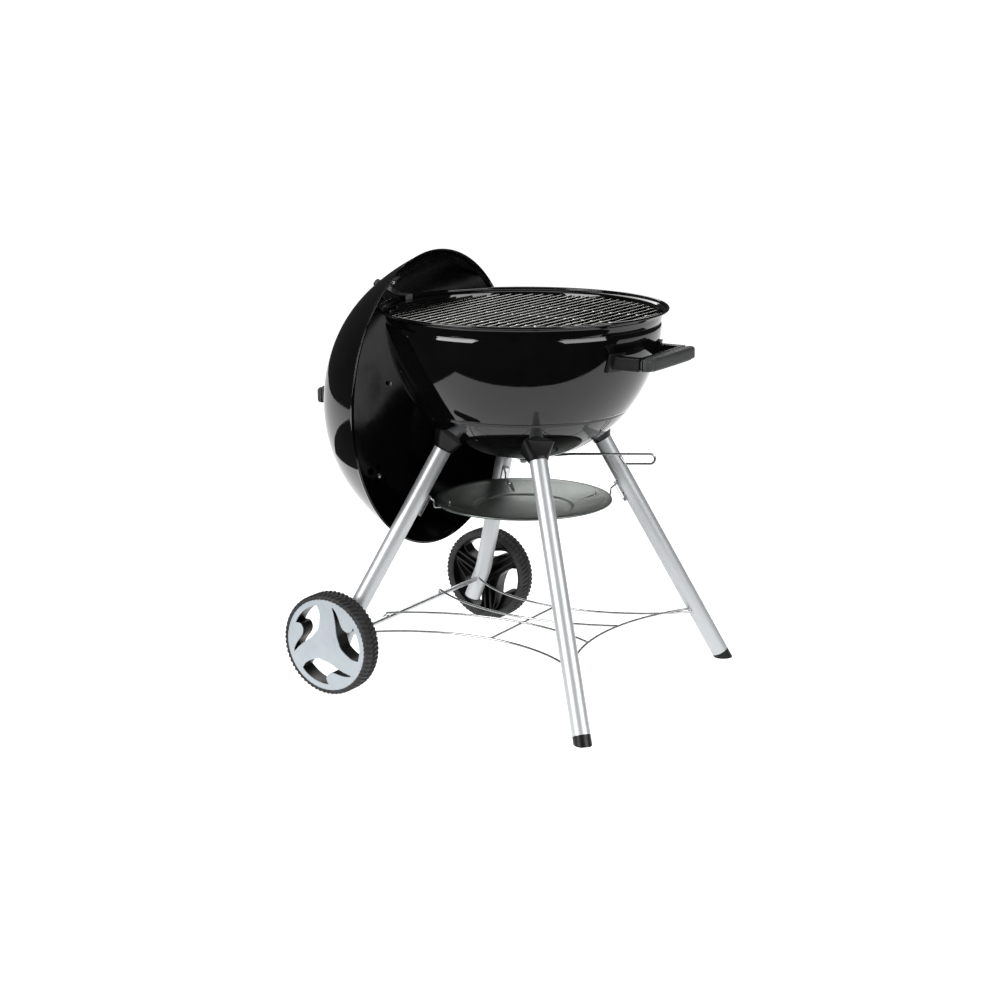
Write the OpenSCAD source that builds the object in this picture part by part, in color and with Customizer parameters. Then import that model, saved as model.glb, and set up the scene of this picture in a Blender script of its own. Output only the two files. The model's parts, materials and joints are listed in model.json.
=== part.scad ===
// Kettle charcoal grill on four legs, with its lid hung on the bowl's rim.
// The model is worked out about the bowl's axis, then moved along X so that the
// origin is the middle of the footprint, on the ground. +X runs from the wheels
// and the hanging lid towards the bowl's handle; -Y is the left side.

/* [Bowl] */
// Outer radius of the bowl's rolled lip
lip_r = 285; // [280:1:290]
// Height of the top of the lip above the ground
rim_z = 752; // [745:1:760]
// Radius of the bowl's body just under the collar
body_r = 270.5; // [266:0.5:274]
// Height of the collar, from the lip down to the body
collar_h = 30; // [26:1:34]
// Depth of the body below the collar
body_h = 269; // [255:1:280]
// Sheet thickness of the bowl and the lid
wall = 1.6; // [1.2:0.1:2.5]
// Width of each ash slot in the bottom of the bowl
slot_w = 17; // [12:1:20]

/* [Bowl handle] */
// Height of the handle's middle above the ground
handle_z = 673; // [660:1:680]
// Distance from the bowl's axis to the outer face of the grip
handle_out = 332; // [325:1:345]
// Overall length of a handle
handle_l = 196; // [170:2:210]
// Thickness of a handle's grip
grip_t = 26; // [20:1:30]
// Width of a handle's arms
arm_w = 20; // [16:1:26]

/* [Legs] */
// Outer radius of the leg tubes
leg_r = 17.5; // [15:0.5:19]
// Wall thickness of the leg tubes
leg_wall = 1.5; // [1:0.1:2.5]
// Height of the top end of each tube, on its axis
leg_top_z = 476; // [470:1:480]
// X distance from the bowl's axis to the top end of a tube
leg_top_x = 108.5; // [100:0.5:115]
// Y distance from the bowl's axis to the top end of a tube
leg_top_y = 126.5; // [115:0.5:135]
// X distance from the bowl's axis to where a foot meets the ground
foot_x = 305.5; // [290:0.5:315]
// Y distance from the bowl's axis to where a foot meets the ground
foot_y = 300.7; // [285:0.1:310]
// Height at which a wheel-side leg bends
bend_z = 126; // [118:1:135]
// Height of the lower end of a wheel-side leg
leg_end_z = 56; // [45:1:70]

/* [Wheels] */
// Outer radius of the tyres
wheel_r = 101; // [95:1:105]
// Width of the tyres
wheel_w = 42; // [36:1:46]
// Distance of a wheel's middle plane from the grill's middle
track_y = 295; // [294:0.5:298]
// Radius of the axle rod
axle_r = 5; // [4:0.5:6]
// Radius of the outer wheel cover
cover_r = 92; // [86:1:94]

/* [Lid] */
// Outer radius of the lid's rolled edge
lid_r = 299; // [297:0.5:301]
// Radius that the lid's dome would have at its mouth
dome_r = 300; // [298:0.5:301]
// Depth of the lid from its mouth to its pole
lid_h = 189.5; // [180:0.5:200]
// Distance of the hanging lid's mouth from the bowl's axis
lid_x = 198.5; // [198:0.5:202]
// Height of the hanging lid's axis above the ground
lid_z = 551; // [549:1:552]
// Lean of the hanging lid away from the bowl at its top
lid_tilt = 1; // [0.5:0.1:1.5]
// Distance from the lid's mouth to the outer face of its grip
lid_grip_z = 241.5; // [235:0.5:250]
// Distance of the vents from the lid's axis
vent_r = 180; // [170:1:190]

/* [Ash pan] */
// Outer radius of the ash pan
pan_r = 177; // [165:1:180]
// Height of the pan's rim above the ground
pan_z = 366; // [355:1:372]
// Radius of the sunken well in the pan
well_r = 100; // [90:1:110]

/* [Grates] */
// Radius of the cooking grate's ring, to the middle of its wire
grate_r = 262; // [258:0.5:263]
// Height of the middle of the cooking grate's ring
grate_z = 732; // [731:0.5:734]
// Spacing of the cooking grate's bars
grate_pitch = 19.5; // [17:0.5:22]
// Radius of the charcoal grate's ring, to the middle of its wire
coal_r = 205; // [195:1:210]
// Height of the middle of the charcoal grate's ring
coal_z = 575; // [570:1:580]
// Spacing of the charcoal grate's bars
coal_pitch = 26; // [22:1:32]

/* [Shelf] */
// Radius of the shelf's wires
wire_r = 2.25; // [1.5:0.25:3]
// Nearest distance of a side wire to the middle of the grill
side_bow_y = 128; // [120:1:135]
// Nearest distance of an inner wire to the middle of the grill
inner_bow_y = 15; // [12:1:20]
// Nearest distance of the front wire to the bowl's axis
front_bow_x = 180; // [170:1:190]

/* [Ash lever] */
// Direction in which the lever points, from +X towards +Y
lever_az = 30; // [25:1:34]
// Length of the lever from the bowl's axis
lever_l = 262; // [240:1:280]

/* [Hidden] */
$fn = 64;

gap = 0.3;        // clearance between neighbouring pieces
fit = 0.06;       // radial clearance of a running fit
eps = 0.01;
steps = 24;       // steps along a pressed dome

body_z = rim_z - collar_h;
bottom_z = body_z - body_h;
leg_dx = (foot_x - leg_top_x) / leg_top_z;
leg_dy = (foot_y - leg_top_y) / leg_top_z;
cap_z = 14;       // height of a foot-side tube's lower end, on its axis
bend_x = leg_top_x + leg_dx * (leg_top_z - bend_z);
bend_y = leg_top_y + leg_dy * (leg_top_z - bend_z);
axle_z = wheel_r;
axle_x = bend_x + leg_dx * (bend_z - axle_z);
pan_az = atan2(leg_top_y + leg_dy * 96, leg_top_x + leg_dx * 96);
cover_t = 3;      // thickness of a wheel cover
hook_w = 24;      // width of the lid's hook
arm_y = handle_l / 2 - arm_w / 2;
grip_h = 34;      // height of the lid's handle across its grip
grip_in = handle_out - grip_t;

// The footprint runs from the lid's grip to the bowl's grip
x_low = -lid_x - lid_grip_z * cos(lid_tilt) - grip_h / 2 * sin(lid_tilt);
x_mid = (x_low + handle_out) / 2;

// Side outline of the bowl's body: radius at the depth share u, from 0 to 1
function bowl_r_at(u, r) = r * pow(1 - pow(u, 1.75), 1 / 2.3);
function share(i) = 1 - pow(1 - i / steps, 2);
function body_line(g) = [for (i = [0:steps])
    [bowl_r_at(share(i), body_r + g), body_z - share(i) * (body_h + g)]];
// Depth of the lid's dome at the radius r, for a dome grown by g
function dome_z(r, g) = (lid_h + g) * (1 - pow(r / (dome_r + g), 3.43));
function dome_line(r, g) = [for (i = [0:steps]) let (q = r * cos(90 * i / steps)) [q, dome_z(q, g)]];
function flip(list) = [for (i = [len(list) - 1:-1:0]) list[i]];
// Slope of the dome's normal from the lid's axis at the radius r
function dome_lean(r) = atan(lid_h * 3.43 / dome_r * pow(r / dome_r, 2.43));
function leg_point(sx, sy, z) = [sx * (leg_top_x + leg_dx * (leg_top_z - z)),
    sy * (leg_top_y + leg_dy * (leg_top_z - z)), z];
function bend_point(sy) = [-bend_x, sy * bend_y, bend_z];
function lower_point(sy, z) = [-bend_x - leg_dx * (bend_z - z), sy * bend_y, z];

module placed() translate([-x_mid, 0, 0]) children();

// Puts its children at p with their +Z pointing at q
module along(p, q) {
    v = q - p;
    translate(p) rotate([0, acos(v.z / norm(v)), atan2(v.y, v.x)]) children();
}
module rod(p, q, r) along(p, q) cylinder(r = r, h = norm(q - p));
// A wire bent through a list of points, with a slightly larger ball at each bend;
// every other length is a touch thinner
module bent_wire(points, r) {
    for (i = [1:len(points) - 1]) rod(points[i - 1], points[i], r * (i % 2 == 0 ? 0.97 : 1));
    for (i = [1:len(points) - 2]) translate(points[i]) sphere(r = r * 1.05, $fn = 32);
}
// An arc of wire lying flat: radius, first and last angle from +X
module flat_arc(radius, a, b, r)
    rotate([0, 0, a]) rotate_extrude(angle = b - a, $fn = 96) translate([radius, 0]) circle(r = r, $fn = 24);
module ring(radius, r) rotate_extrude($fn = 96) translate([radius, 0]) circle(r = r, $fn = 24);
module pipe(ro, ri, h) difference() {
    cylinder(r = ro, h = h);
    translate([0, 0, -1]) cylinder(r = ri, h = h + 2);
}
module rounded_rect(w, h, r) {
    square([w - 2 * r, h], center = true);
    square([w, h - 2 * r], center = true);
    for (x = [-1, 1], y = [-1, 1]) translate([x * (w / 2 - r), y * (h / 2 - r)]) circle(r = r, $fn = 32);
}
// Hexagon bolt head or nut, across flats w
module hex(w, h) cylinder(r = w / sqrt(3), h = h, $fn = 6);

// ---- Bowl ----
module bowl_solid(g) rotate_extrude($fn = 96) polygon(concat([[0, body_z]], body_line(g)));
module bowl_layer(a, b) difference() { bowl_solid(-a); bowl_solid(-b); }
slot_az = [-15, 105, 225];
bracket_az = [-23, 97, 217];

module ash_slots() for (a = slot_az) rotate([0, 0, a]) translate([0, 0, bottom_z - 5])
    linear_extrude(80) translate([75, 0]) rounded_rect(76, slot_w, slot_w / 2 - eps);

module leg_bolt_holes(r) for (sx = [-1, 1], sy = [-1, 1])
    along(leg_point(sx, sy, leg_top_z), leg_point(sx, sy, leg_top_z + 10))
        translate([0, 0, 10]) cylinder(r = r, h = 40);

module handle_holes(r, x0, x1) for (s = [-1, 1])
    translate([x0, s * arm_y, handle_z]) rotate([0, 90, 0]) cylinder(r = r, h = x1 - x0);

module bowl() color("#101012") placed() difference() {
    rotate_extrude($fn = 128) polygon(concat(
        [[lip_r - 7, rim_z - 2.5], [lip_r - 4.5, rim_z - 0.6], [lip_r - 2.4, rim_z],
         [lip_r - 0.6, rim_z - 1], [lip_r, rim_z - 3], [lip_r - 1, rim_z - 5],
         [lip_r - 6, rim_z - 7], [lip_r - 10, rim_z - 12], [lip_r - 13.4, rim_z - 20],
         [body_r - 1.6, rim_z - 27], [body_r - 1.6, body_z + 1]],
        body_line(0), flip(body_line(-wall)),
        [[body_r - 1.6 - wall, rim_z - 26.5], [lip_r - 13.4 - wall, rim_z - 19.4],
         [lip_r - 11.4, rim_z - 11.2]]));
    translate([0, 0, bottom_z - 5]) cylinder(r = 4 + fit, h = 20);
    ash_slots();
    leg_bolt_holes(3.2);
    handle_holes(2.7, 200, 300);
}

// The frame: two arms with foot plates on the bowl, and a bar behind the grip
module bowl_handle() color("#161618") placed() difference() {
    union() {
        translate([0, 0, handle_z - grip_t / 2 + 1]) linear_extrude(grip_t - 2) difference() {
            translate([grip_in - 60, 0]) square([120, handle_l - 2], center = true);
            translate([grip_in - 6 - 60, 0]) rounded_rect(120, handle_l - 2 * arm_w, 8);
        }
        intersection() {
            for (s = [-1, 1]) translate([200, s * arm_y - 17, handle_z - 18]) cube([100, 34, 36]);
            difference() { bowl_solid(6); bowl_solid(gap); }
        }
    }
    bowl_solid(gap);
    handle_holes(2.55, 200, grip_in + 10);
}

module bowl_handle_grip() color("#34373a") placed() difference() {
    translate([0, 0, handle_z - grip_t / 2]) linear_extrude(grip_t) {
        translate([handle_out - 16, 0]) rounded_rect(32, handle_l, 15);
        translate([grip_in + gap + 8, 0]) rounded_rect(16, handle_l, 3);
    }
    translate([grip_in + gap - 50, 0, handle_z]) cube([100, handle_l + 20, grip_t + 20], center = true);
    handle_holes(2.55, 200, handle_out - 12);
}

module bowl_handle_bolts() color("#9a9d9f") placed() for (s = [-1, 1])
    translate([0, s * arm_y, handle_z]) rotate([0, 90, 0]) {
        translate([0, 0, 236]) cylinder(r = 2.5, h = handle_out - 13 - 236);
        translate([0, 0, 234.5]) hex(8, 3.5);
    }

module cooking_grate_brackets() color("#1a1a1c") placed() for (a = bracket_az)
    rotate([0, 0, a]) translate([0, -9, 0]) {
        translate([body_r - 1.6 - wall - gap - 2, 0, 704]) cube([2, 18, 24.4]);
        translate([grate_r - 6, 0, 726.4]) cube([body_r - 1.6 - wall - gap - grate_r + 6, 18, 2]);
    }

coal_wall_r = bowl_r_at((body_z - coal_z + 4) / body_h, body_r);
module charcoal_grate_brackets() color("#1a1a1c") placed() for (a = bracket_az)
    rotate([0, 0, a + 40]) translate([coal_r - 6, -9, coal_z - 4.6 - 2.4]) difference() {
        cube([coal_wall_r - coal_r + 20, 18, 2.4]);
        translate([6 - coal_r, 9, 4.6 + 2.4 - coal_z]) difference() {
            translate([0, 0, coal_z - 20]) cylinder(r = 300, h = 40);
            bowl_solid(-wall - gap);
        }
    }

// ---- Legs ----
module leg_tube(p, q) along(p, q) pipe(leg_r, leg_r - leg_wall, norm(q - p));

module leg_socket(sx, sy) color("#151517") placed() difference() {
    along(leg_point(sx, sy, leg_top_z), leg_point(sx, sy, leg_top_z + 10)) {
        translate([0, 0, -40]) cylinder(r = leg_r - leg_wall - 0.1, h = 41);
        translate([0, 0, gap]) cylinder(r1 = leg_r + 1, r2 = 32, h = 40);
    }
    bowl_solid(gap);
    along(leg_point(sx, sy, leg_top_z), leg_point(sx, sy, leg_top_z + 10))
        translate([0, 0, -41]) cylinder(r = 3.05, h = 100);
}

module leg_foot(sy) color("#b9bdbf") placed()
    leg_tube(leg_point(1, sy, cap_z), leg_point(1, sy, leg_top_z));

// Drawn as the left leg, and mirrored for the right one
module leg_wheel(sy) color("#b9bdbf") placed() mirror([0, sy + 1, 0]) {
    top = leg_point(-1, -1, leg_top_z);
    bend = bend_point(-1);
    end = lower_point(-1, leg_end_z);
    difference() {
        union() {
            rod(bend, top, leg_r);
            rod(bend, end, leg_r);
            translate(bend) sphere(r = leg_r + 0.2);
        }
        along(bend, top) cylinder(r = leg_r - leg_wall, h = norm(top - bend) + 5);
        along(bend, end) cylinder(r = leg_r - leg_wall, h = norm(end - bend) + 5);
        translate(bend) sphere(r = leg_r - leg_wall + 0.1);
        translate([-axle_x, -bend_y, axle_z]) rotate([90, 0, 0])
            translate([0, 0, -30]) cylinder(r = axle_r + fit, h = 60);
    }
}

module leg_bolts() color("#9a9d9f") placed() for (sx = [-1, 1], sy = [-1, 1])
    along(leg_point(sx, sy, leg_top_z), leg_point(sx, sy, leg_top_z + 10)) {
        translate([0, 0, -30]) cylinder(r = 3, h = 60);
        translate([0, 0, 29.4]) cylinder(r = 7, h = 3.5);
    }

module foot_cap(sy) color("#1c1c1e") placed() mirror([0, sy + 1, 0]) {
    p = leg_point(1, -1, cap_z);
    q = leg_point(1, -1, cap_z + 10);
    difference() {
        along(p, q) {
            translate([0, 0, -22]) cylinder(r = leg_r, h = 21.9);
            translate([0, 0, -1]) cylinder(r = leg_r - leg_wall - 0.1, h = 25);
        }
        translate([p.x - 60, p.y - 60, -50]) cube([120, 120, 50]);
    }
}

module leg_end_plugs() color("#1c1c1e") placed() for (sy = [-1, 1])
    along(lower_point(sy, leg_end_z), lower_point(sy, leg_end_z + 10)) {
        translate([0, 0, -1]) cylinder(r = leg_r - leg_wall - 0.1, h = 15);
        translate([0, 0, -3]) cylinder(r = leg_r, h = 2.9);
    }

// ---- Wheels ----
// A wheel is drawn with its axis along +Z, its outer face upwards
module wheel_place(sy) placed() translate([-axle_x, sy * track_y, axle_z])
    rotate([sy > 0 ? -90 : 90, 0, 0]) children();

module tyre(sy) color("#2a2a2b") wheel_place(sy) rotate_extrude($fn = 128) polygon([
    [86, -wheel_w / 2 + 3], [wheel_r - 4, -wheel_w / 2], [wheel_r, -wheel_w / 2 + 5],
    [wheel_r, wheel_w / 2 - 5], [wheel_r - 4, wheel_w / 2], [cover_r + 1, wheel_w / 2],
    [cover_r + 0.5, wheel_w / 2 - cover_t - 1.5], [86, wheel_w / 2 - cover_t - 1.5]]);

spoke_az = [86.5, 206.5, 326.5];
// Outline of one opening of the cover, seen from outside, as radius and angle:
// from the tail's tip round the tongue, along the ring, and back past the hub
window_line = [
    [80, 78], [80, 75.3], [75.5, 70.3], [70, 64.5], [64, 58], [59.5, 52], [57, 44], [59, 36],
    [65, 31], [72, 30.5], [80, 34], [80.5, 24], [80.5, 14], [80.5, 4], [80.5, -6], [80, -16],
    [66, -18], [52, -15], [40, -8], [35, 0], [33, 12], [33, 26], [36, 42], [45, 56], [56, 65], [68, 72]];
function window_point(i) = let (p = window_line[(i + len(window_line)) % len(window_line)])
    [p[0] * cos(p[1]), p[0] * sin(p[1])];
// The outline grown by g
function window_grown(g) = [for (i = [0:len(window_line) - 1])
    let (d = window_point(i - 1) - window_point(i + 1), n = [-d.y, d.x] / norm(d))
    window_point(i) - g * n];
module windows(z, h, g) for (a = [0, 120, 240]) rotate([0, 0, a])
    translate([0, 0, z]) linear_extrude(h) polygon(window_grown(g));
wall_back = -12;  // how far back the walls round the openings reach
window_wall = 2;

module wheel_core(sy) color("#141415") wheel_place(sy) {
    translate([0, 0, -wheel_w / 2 + 3]) pipe(86 - gap, 83.6, wheel_w - cover_t - 4.2);
    translate([0, 0, -wheel_w / 2]) pipe(17, 8, wheel_w - cover_t - 1.2);
    for (a = spoke_az, side = [-1, 1]) rotate([0, 0, a]) translate([13, side * 7 - 2, -wheel_w / 2 + 6])
        cube([71.5, 4, wheel_w - cover_t - 8]);
    difference() {
        translate([0, 0, 2]) cylinder(r = 84.5, h = 2.5, $fn = 128);
        translate([0, 0, 1]) cylinder(r = 15, h = 5);
        windows(1, 5, window_wall + 1);
    }
}

module wheel_cover(sy) color("#9aa3ad") wheel_place(sy) difference() {
    union() {
        translate([0, 0, wheel_w / 2 - cover_t - 1]) cylinder(r = cover_r, h = cover_t, $fn = 128);
        translate([0, 0, wheel_w / 2 - 1 - eps]) cylinder(r1 = 84, r2 = 60, h = 1, $fn = 128);
        windows(wall_back, wheel_w / 2 - cover_t - wall_back, window_wall);
    }
    windows(wall_back - 1, wheel_w - wall_back, 0);
}

module hub_bush(sy) color("#3a3a3c") wheel_place(sy)
    translate([0, 0, -wheel_w / 2]) pipe(8 - 0.05, axle_r + fit, wheel_w - cover_t - 6);

module axle() color("#8d9092") placed() translate([-axle_x, -track_y - 15, axle_z]) rotate([-90, 0, 0])
    cylinder(r = axle_r, h = 2 * track_y + 30);

module axle_washers() color("#a9acae") placed() for (s = [-1, 1])
    translate([-axle_x, s * (bend_y + leg_r + 0.9) - 0.6, axle_z]) rotate([-90, 0, 0])
        pipe(10, axle_r + 0.02, 1.2);

module axle_nuts() color("#a9acae") placed() for (s = [-1, 1])
    translate([-axle_x, s * (track_y + 12.6), axle_z]) rotate([s > 0 ? -90 : 90, 0, 0])
        difference() {
            cylinder(r = 7.4, h = 3.6);
            translate([0, 0, -1]) cylinder(r = axle_r + 0.02, h = 3.5);
        }

// ---- Wire shelf: two levels of welded wires ----
level_b = axle_z + axle_r + wire_r + 2.3;
level_a = level_b - 2 * wire_r - 0.1;
half_x = 262;     // X distance from the bowl's axis to a leg at the shelf
side_r = (pow(half_x, 2) + pow(244 - side_bow_y, 2)) / (2 * (244 - side_bow_y));
inner_r = (255 * 255 + 85 * 85) / (2 * 85);
front_r = (240 * 240 + 70 * 70) / (2 * 70);

module shelf_side_wire(s) color("#c4c7c9") placed() translate([0, s * (side_bow_y + side_r), level_a]) {
    a = asin(258 / side_r);
    b = asin(249.5 / side_r);
    if (s > 0) flat_arc(side_r, 270 - b, 270 + a, wire_r);
    else flat_arc(side_r, 90 - a, 90 + b, wire_r);
}

module shelf_inner_wire(s) color("#c4c7c9") placed() {
    cx = -13;
    cy = s * (inner_bow_y + inner_r);
    a = asin((front_bow_x + 0.7 - cx) / inner_r);
    b = asin((axle_x + cx) / inner_r);
    translate([cx, cy, level_b])
        if (s > 0) flat_arc(inner_r, 270 - b, 270 + a, wire_r);
        else flat_arc(inner_r, 90 - a, 90 + b, wire_r);
    // the end turns down behind the axle
    hook_r = level_b - axle_z;
    translate([-axle_x, cy - s * inner_r * cos(b), axle_z]) rotate([0, 0, s > 0 ? -b : b])
        rotate([90, 0, 0]) flat_arc(hook_r, 84, 205, wire_r * 0.96);
}

module shelf_front_wire() color("#c4c7c9") placed() translate([front_bow_x + front_r, 0, level_b]) {
    a = asin(241 / front_r);
    flat_arc(front_r, 180 - a, 180 + a, wire_r);
}

module shelf_cross_wire() color("#c4c7c9") placed()
    rod([0, -side_bow_y + wire_r + 0.1, level_a], [0, side_bow_y - wire_r - 0.1, level_a], wire_r);

// ---- Ash pan ----
pan_t = 1.2;
hole_r = 152;
module ash_pan() color("#a3aaa5") placed() difference() {
    rotate_extrude($fn = 128) polygon([
        [0, pan_z - 20], [well_r - 4, pan_z - 20], [well_r, pan_z - 16], [well_r + 6, pan_z - 15.4],
        [pan_r - 18, pan_z - 3.6], [pan_r - 12, pan_z], [pan_r - 1, pan_z], [pan_r, pan_z - 1],
        [pan_r, pan_z - 4], [pan_r - pan_t, pan_z - 4], [pan_r - pan_t, pan_z - pan_t],
        [pan_r - 12, pan_z - pan_t], [pan_r - 17.6, pan_z - 3.6 - pan_t], [well_r + 6, pan_z - 15.4 - pan_t],
        [well_r + 0.6, pan_z - 16 - pan_t], [well_r - 3.5, pan_z - 20 - pan_t], [0, pan_z - 20 - pan_t]]);
    for (sx = [0, 180], sy = [-1, 1]) rotate([0, 0, sx + sy * pan_az])
        translate([hole_r, 0, pan_z - 30]) cylinder(r = 4, h = 40);
}

hook_top = [194.5, 0, pan_z + 14];
hook_bend = [184, 0, pan_z + 6];
module ash_pan_hooks() color("#b4b8ba") placed() for (sx = [0, 180], sy = [-1, 1])
    rotate([0, 0, sx + sy * pan_az]) bent_wire([hook_top, hook_bend, [184, 0, pan_z - 7.5],
        [hole_r, 0, pan_z - 8.6], [hole_r, 0, pan_z + 1]], 1.75);

module ash_pan_clips() color("#9fa3a5") placed() difference() {
    for (sx = [-1, 1], sy = [-1, 1])
        along(leg_point(sx, sy, leg_top_z), leg_point(sx, sy, leg_top_z + 10)) difference() {
            translate([leg_r - 1, -7, -138]) cube([7, 14, 44]);
            translate([leg_r + 2, -8, -134]) cube([3, 16, 36]);
            translate([0, 0, -140]) cylinder(r = leg_r + 0.05, h = 50);
        }
    for (sx = [0, 180], sy = [-1, 1]) rotate([0, 0, sx + sy * pan_az])
        rod(hook_bend, hook_top + 0.4 * (hook_top - hook_bend), 2.1);
}

// ---- Grates ----
// Bars lying along Y on a ring, each ending at the ring's outer edge
module bars(radius, z, pitch, r) {
    count = floor((radius - 6) / pitch);
    for (i = [-count:count]) {
        half = sqrt(pow(radius, 2) - pow(i * pitch, 2));
        translate([i * pitch, 0, z]) rotate([90, 0, 0]) cylinder(r = r, h = 2 * half, center = true);
    }
}
module cross_bars(radius, z, r, ys) for (y = ys) translate([0, y, z]) rotate([0, 90, 0])
    cylinder(r = r, h = 2 * sqrt(pow(radius, 2) - y * y), center = true);

module cooking_grate_ring() color("#c9cccd") placed() translate([0, 0, grate_z]) ring(grate_r, 3);
module cooking_grate_bars() color("#c9cccd") placed() bars(grate_r, grate_z + 5.3, grate_pitch, 2.25);
module cooking_grate_cross_bars() color("#c9cccd") placed()
    cross_bars(grate_r - 5, grate_z + 0.5, 2.5, [-114, 0, 114]);
module charcoal_grate_ring() color("#7b7d7f") placed() translate([0, 0, coal_z]) ring(coal_r, 4);
module charcoal_grate_bars() color("#7b7d7f") placed() bars(coal_r, coal_z + 7.05, coal_pitch, 3);
module charcoal_grate_cross_bars() color("#7b7d7f") placed()
    cross_bars(coal_r - 6.2, coal_z + 1, 3, [-95, 95]);

// ---- Ash sweeper and lever ----
module ash_sweeper() color("#6f7274") placed() {
    for (a = [0, 120, 240]) rotate([0, 0, lever_az + a]) intersection() {
        translate([14, -13, bottom_z - 10]) cube([104, 26, 80]);
        bowl_layer(wall + 1, wall + 3);
    }
    difference() {
        translate([0, 0, bottom_z + wall + 1]) cylinder(r = 20, h = 4);
        translate([0, 0, bottom_z]) cylinder(r = 4.05, h = 10);
    }
}

module ash_lever() color("#b4b8ba") placed() {
    difference() {
        translate([0, 0, bottom_z - 8]) cylinder(r = 14, h = 7);
        translate([0, 0, bottom_z - 9]) cylinder(r = 4.05, h = 10);
    }
    rotate([0, 0, lever_az]) {
        rod([12, 0, bottom_z - 4.5], [95, 0, bottom_z + 1.9], 2.4);
        bent_wire([[94, 0, bottom_z + 2], [lever_l - 8, 0, bottom_z + 2],
            [lever_l, 0, bottom_z - 8], [lever_l - 8, 0, bottom_z - 18], [lever_l - 60, 0, bottom_z - 18],
            [lever_l - 70, 0, bottom_z - 4]], 2.5);
    }
}

module lever_pivot() color("#9a9d9f") placed() {
    translate([0, 0, bottom_z - 16]) cylinder(r = 4, h = 30);
    translate([0, 0, bottom_z + wall + 5.3]) hex(13, 5);
}

module lever_nut() color("#9a9d9f") placed() translate([0, 0, bottom_z - 15]) difference() {
    hex(13, 6.5);
    translate([0, 0, -1]) cylinder(r = 4.05, h = 10);
}

// ---- Lid, drawn with its mouth down at z = 0, its +X pointing up as it hangs ----
module lid_place() placed() translate([-lid_x, 0, lid_z]) rotate([0, -90 - lid_tilt, 0]) children();
module dome_solid(g) rotate_extrude($fn = 96) polygon(concat([[0, 0]], dome_line(dome_r + g, g)));
// Puts its children on the dome at the vent, with +Z along the dome's normal
module vent_place(s) translate([s * vent_r, 0, dome_z(vent_r, 0)]) rotate([0, s * dome_lean(vent_r), 0])
    children();
module vent_holes(r, h) for (a = [45:90:315])
    rotate([0, 0, a]) translate([19, 0, -h / 2]) cylinder(r = r, h = h);
// The hook's rivets pass through the dome at this radius, near the lid's top edge
rivet_r = 231;
module hook_rivet_place() for (y = [-7, 7])
    translate([rivet_r, y, dome_z(rivet_r, 0)]) rotate([0, dome_lean(rivet_r), 0]) children();

module lid() color("#101012") lid_place() difference() {
    rotate_extrude($fn = 128) polygon(concat(
        [[lid_r - 2.6, 0.4], [lid_r - 1, 0], [lid_r, 1.2], [lid_r - 0.6, 3.4], [lid_r - 2.6, 6.4],
         [lid_r - 4.6, 10]],
        dome_line(lid_r - 5.7, 0), flip(dome_line(lid_r - 5.7 - wall, -wall)),
        [[lid_r - 4.6 - wall, 10], [lid_r - 3.4 - wall, 5]]));
    for (s = [-1, 1]) {
        vent_place(s) { vent_holes(7, 20); translate([0, 0, -10]) cylinder(r = 2.55, h = 20); }
        translate([0, s * arm_y, lid_h - 20]) cylinder(r = 2.7, h = 40);
    }
    hook_rivet_place() translate([0, 0, -6]) cylinder(r = 2.05, h = 12);
}

module lid_handle() color("#161618") lid_place() difference() {
    translate([0, 0, lid_grip_z - grip_t]) rotate([0, 90, 0]) translate([0, 0, -grip_h / 2 + 1])
        linear_extrude(grip_h - 2) difference() {
            translate([50, 0]) square([100, handle_l - 2], center = true);
            translate([6 + 50, 0]) rounded_rect(100, handle_l - 2 * arm_w, 8);
        }
    dome_solid(gap);
    for (s = [-1, 1]) translate([0, s * arm_y, lid_h - 20]) cylinder(r = 2.55, h = 46);
}

module lid_handle_grip() color("#34373a") lid_place() difference() {
    translate([0, 0, lid_grip_z]) rotate([0, 90, 0]) translate([0, 0, -grip_h / 2]) linear_extrude(grip_h) {
        translate([16, 0]) rounded_rect(32, handle_l, 15);
        translate([grip_t - gap - 8, 0]) rounded_rect(16, handle_l, 3);
    }
    translate([0, 0, lid_grip_z - grip_t + gap - 50]) cube([grip_h + 20, handle_l + 20, 100], center = true);
    for (s = [-1, 1]) translate([0, s * arm_y, lid_h - 20]) cylinder(r = 2.55, h = lid_grip_z - lid_h + 8);
}

module lid_handle_bolts() color("#9a9d9f") lid_place() for (s = [-1, 1]) translate([0, s * arm_y, 0]) {
    translate([0, 0, lid_h - 10]) cylinder(r = 2.5, h = lid_grip_z - lid_h - 3);
    translate([0, 0, lid_h - 10]) hex(8, 4);
}

// The hook's strip in the X-Z plane: up the dome's inside, over the lip, down into the bowl
module lid_hook() color("#a9acae") placed() difference() {
    translate([0, hook_w / 2, 0]) rotate([90, 0, 0]) linear_extrude(hook_w) polygon([
        [-lip_r - 14.4, rim_z + 38], [-lip_r - 41.2, rim_z + 13.8], [-lip_r - 12, rim_z + 0.4],
        [-lip_r + 13.2, rim_z + 0.4], [-lip_r + 13.2, rim_z - 13], [-lip_r + 15.7, rim_z - 13],
        [-lip_r + 15.7, rim_z + 2.9], [-lip_r - 11.5, rim_z + 2.9], [-lip_r - 36.7, rim_z + 14.5],
        [-lip_r - 12.7, rim_z + 36.1]]);
    translate([-lid_x, 0, lid_z]) rotate([0, -90 - lid_tilt, 0])
        hook_rivet_place() translate([0, 0, -10]) cylinder(r = 2.05, h = 20);
}

module lid_hook_rivets() color("#c4c7c9") lid_place() hook_rivet_place() {
    translate([0, 0, -7.5]) cylinder(r = 2, h = 8.5);
    translate([0, 0, 0.4]) cylinder(r1 = 4, r2 = 2.4, h = 1.8);
    translate([0, 0, -8.5]) cylinder(r1 = 2.4, r2 = 4, h = 1.8);
}

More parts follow.
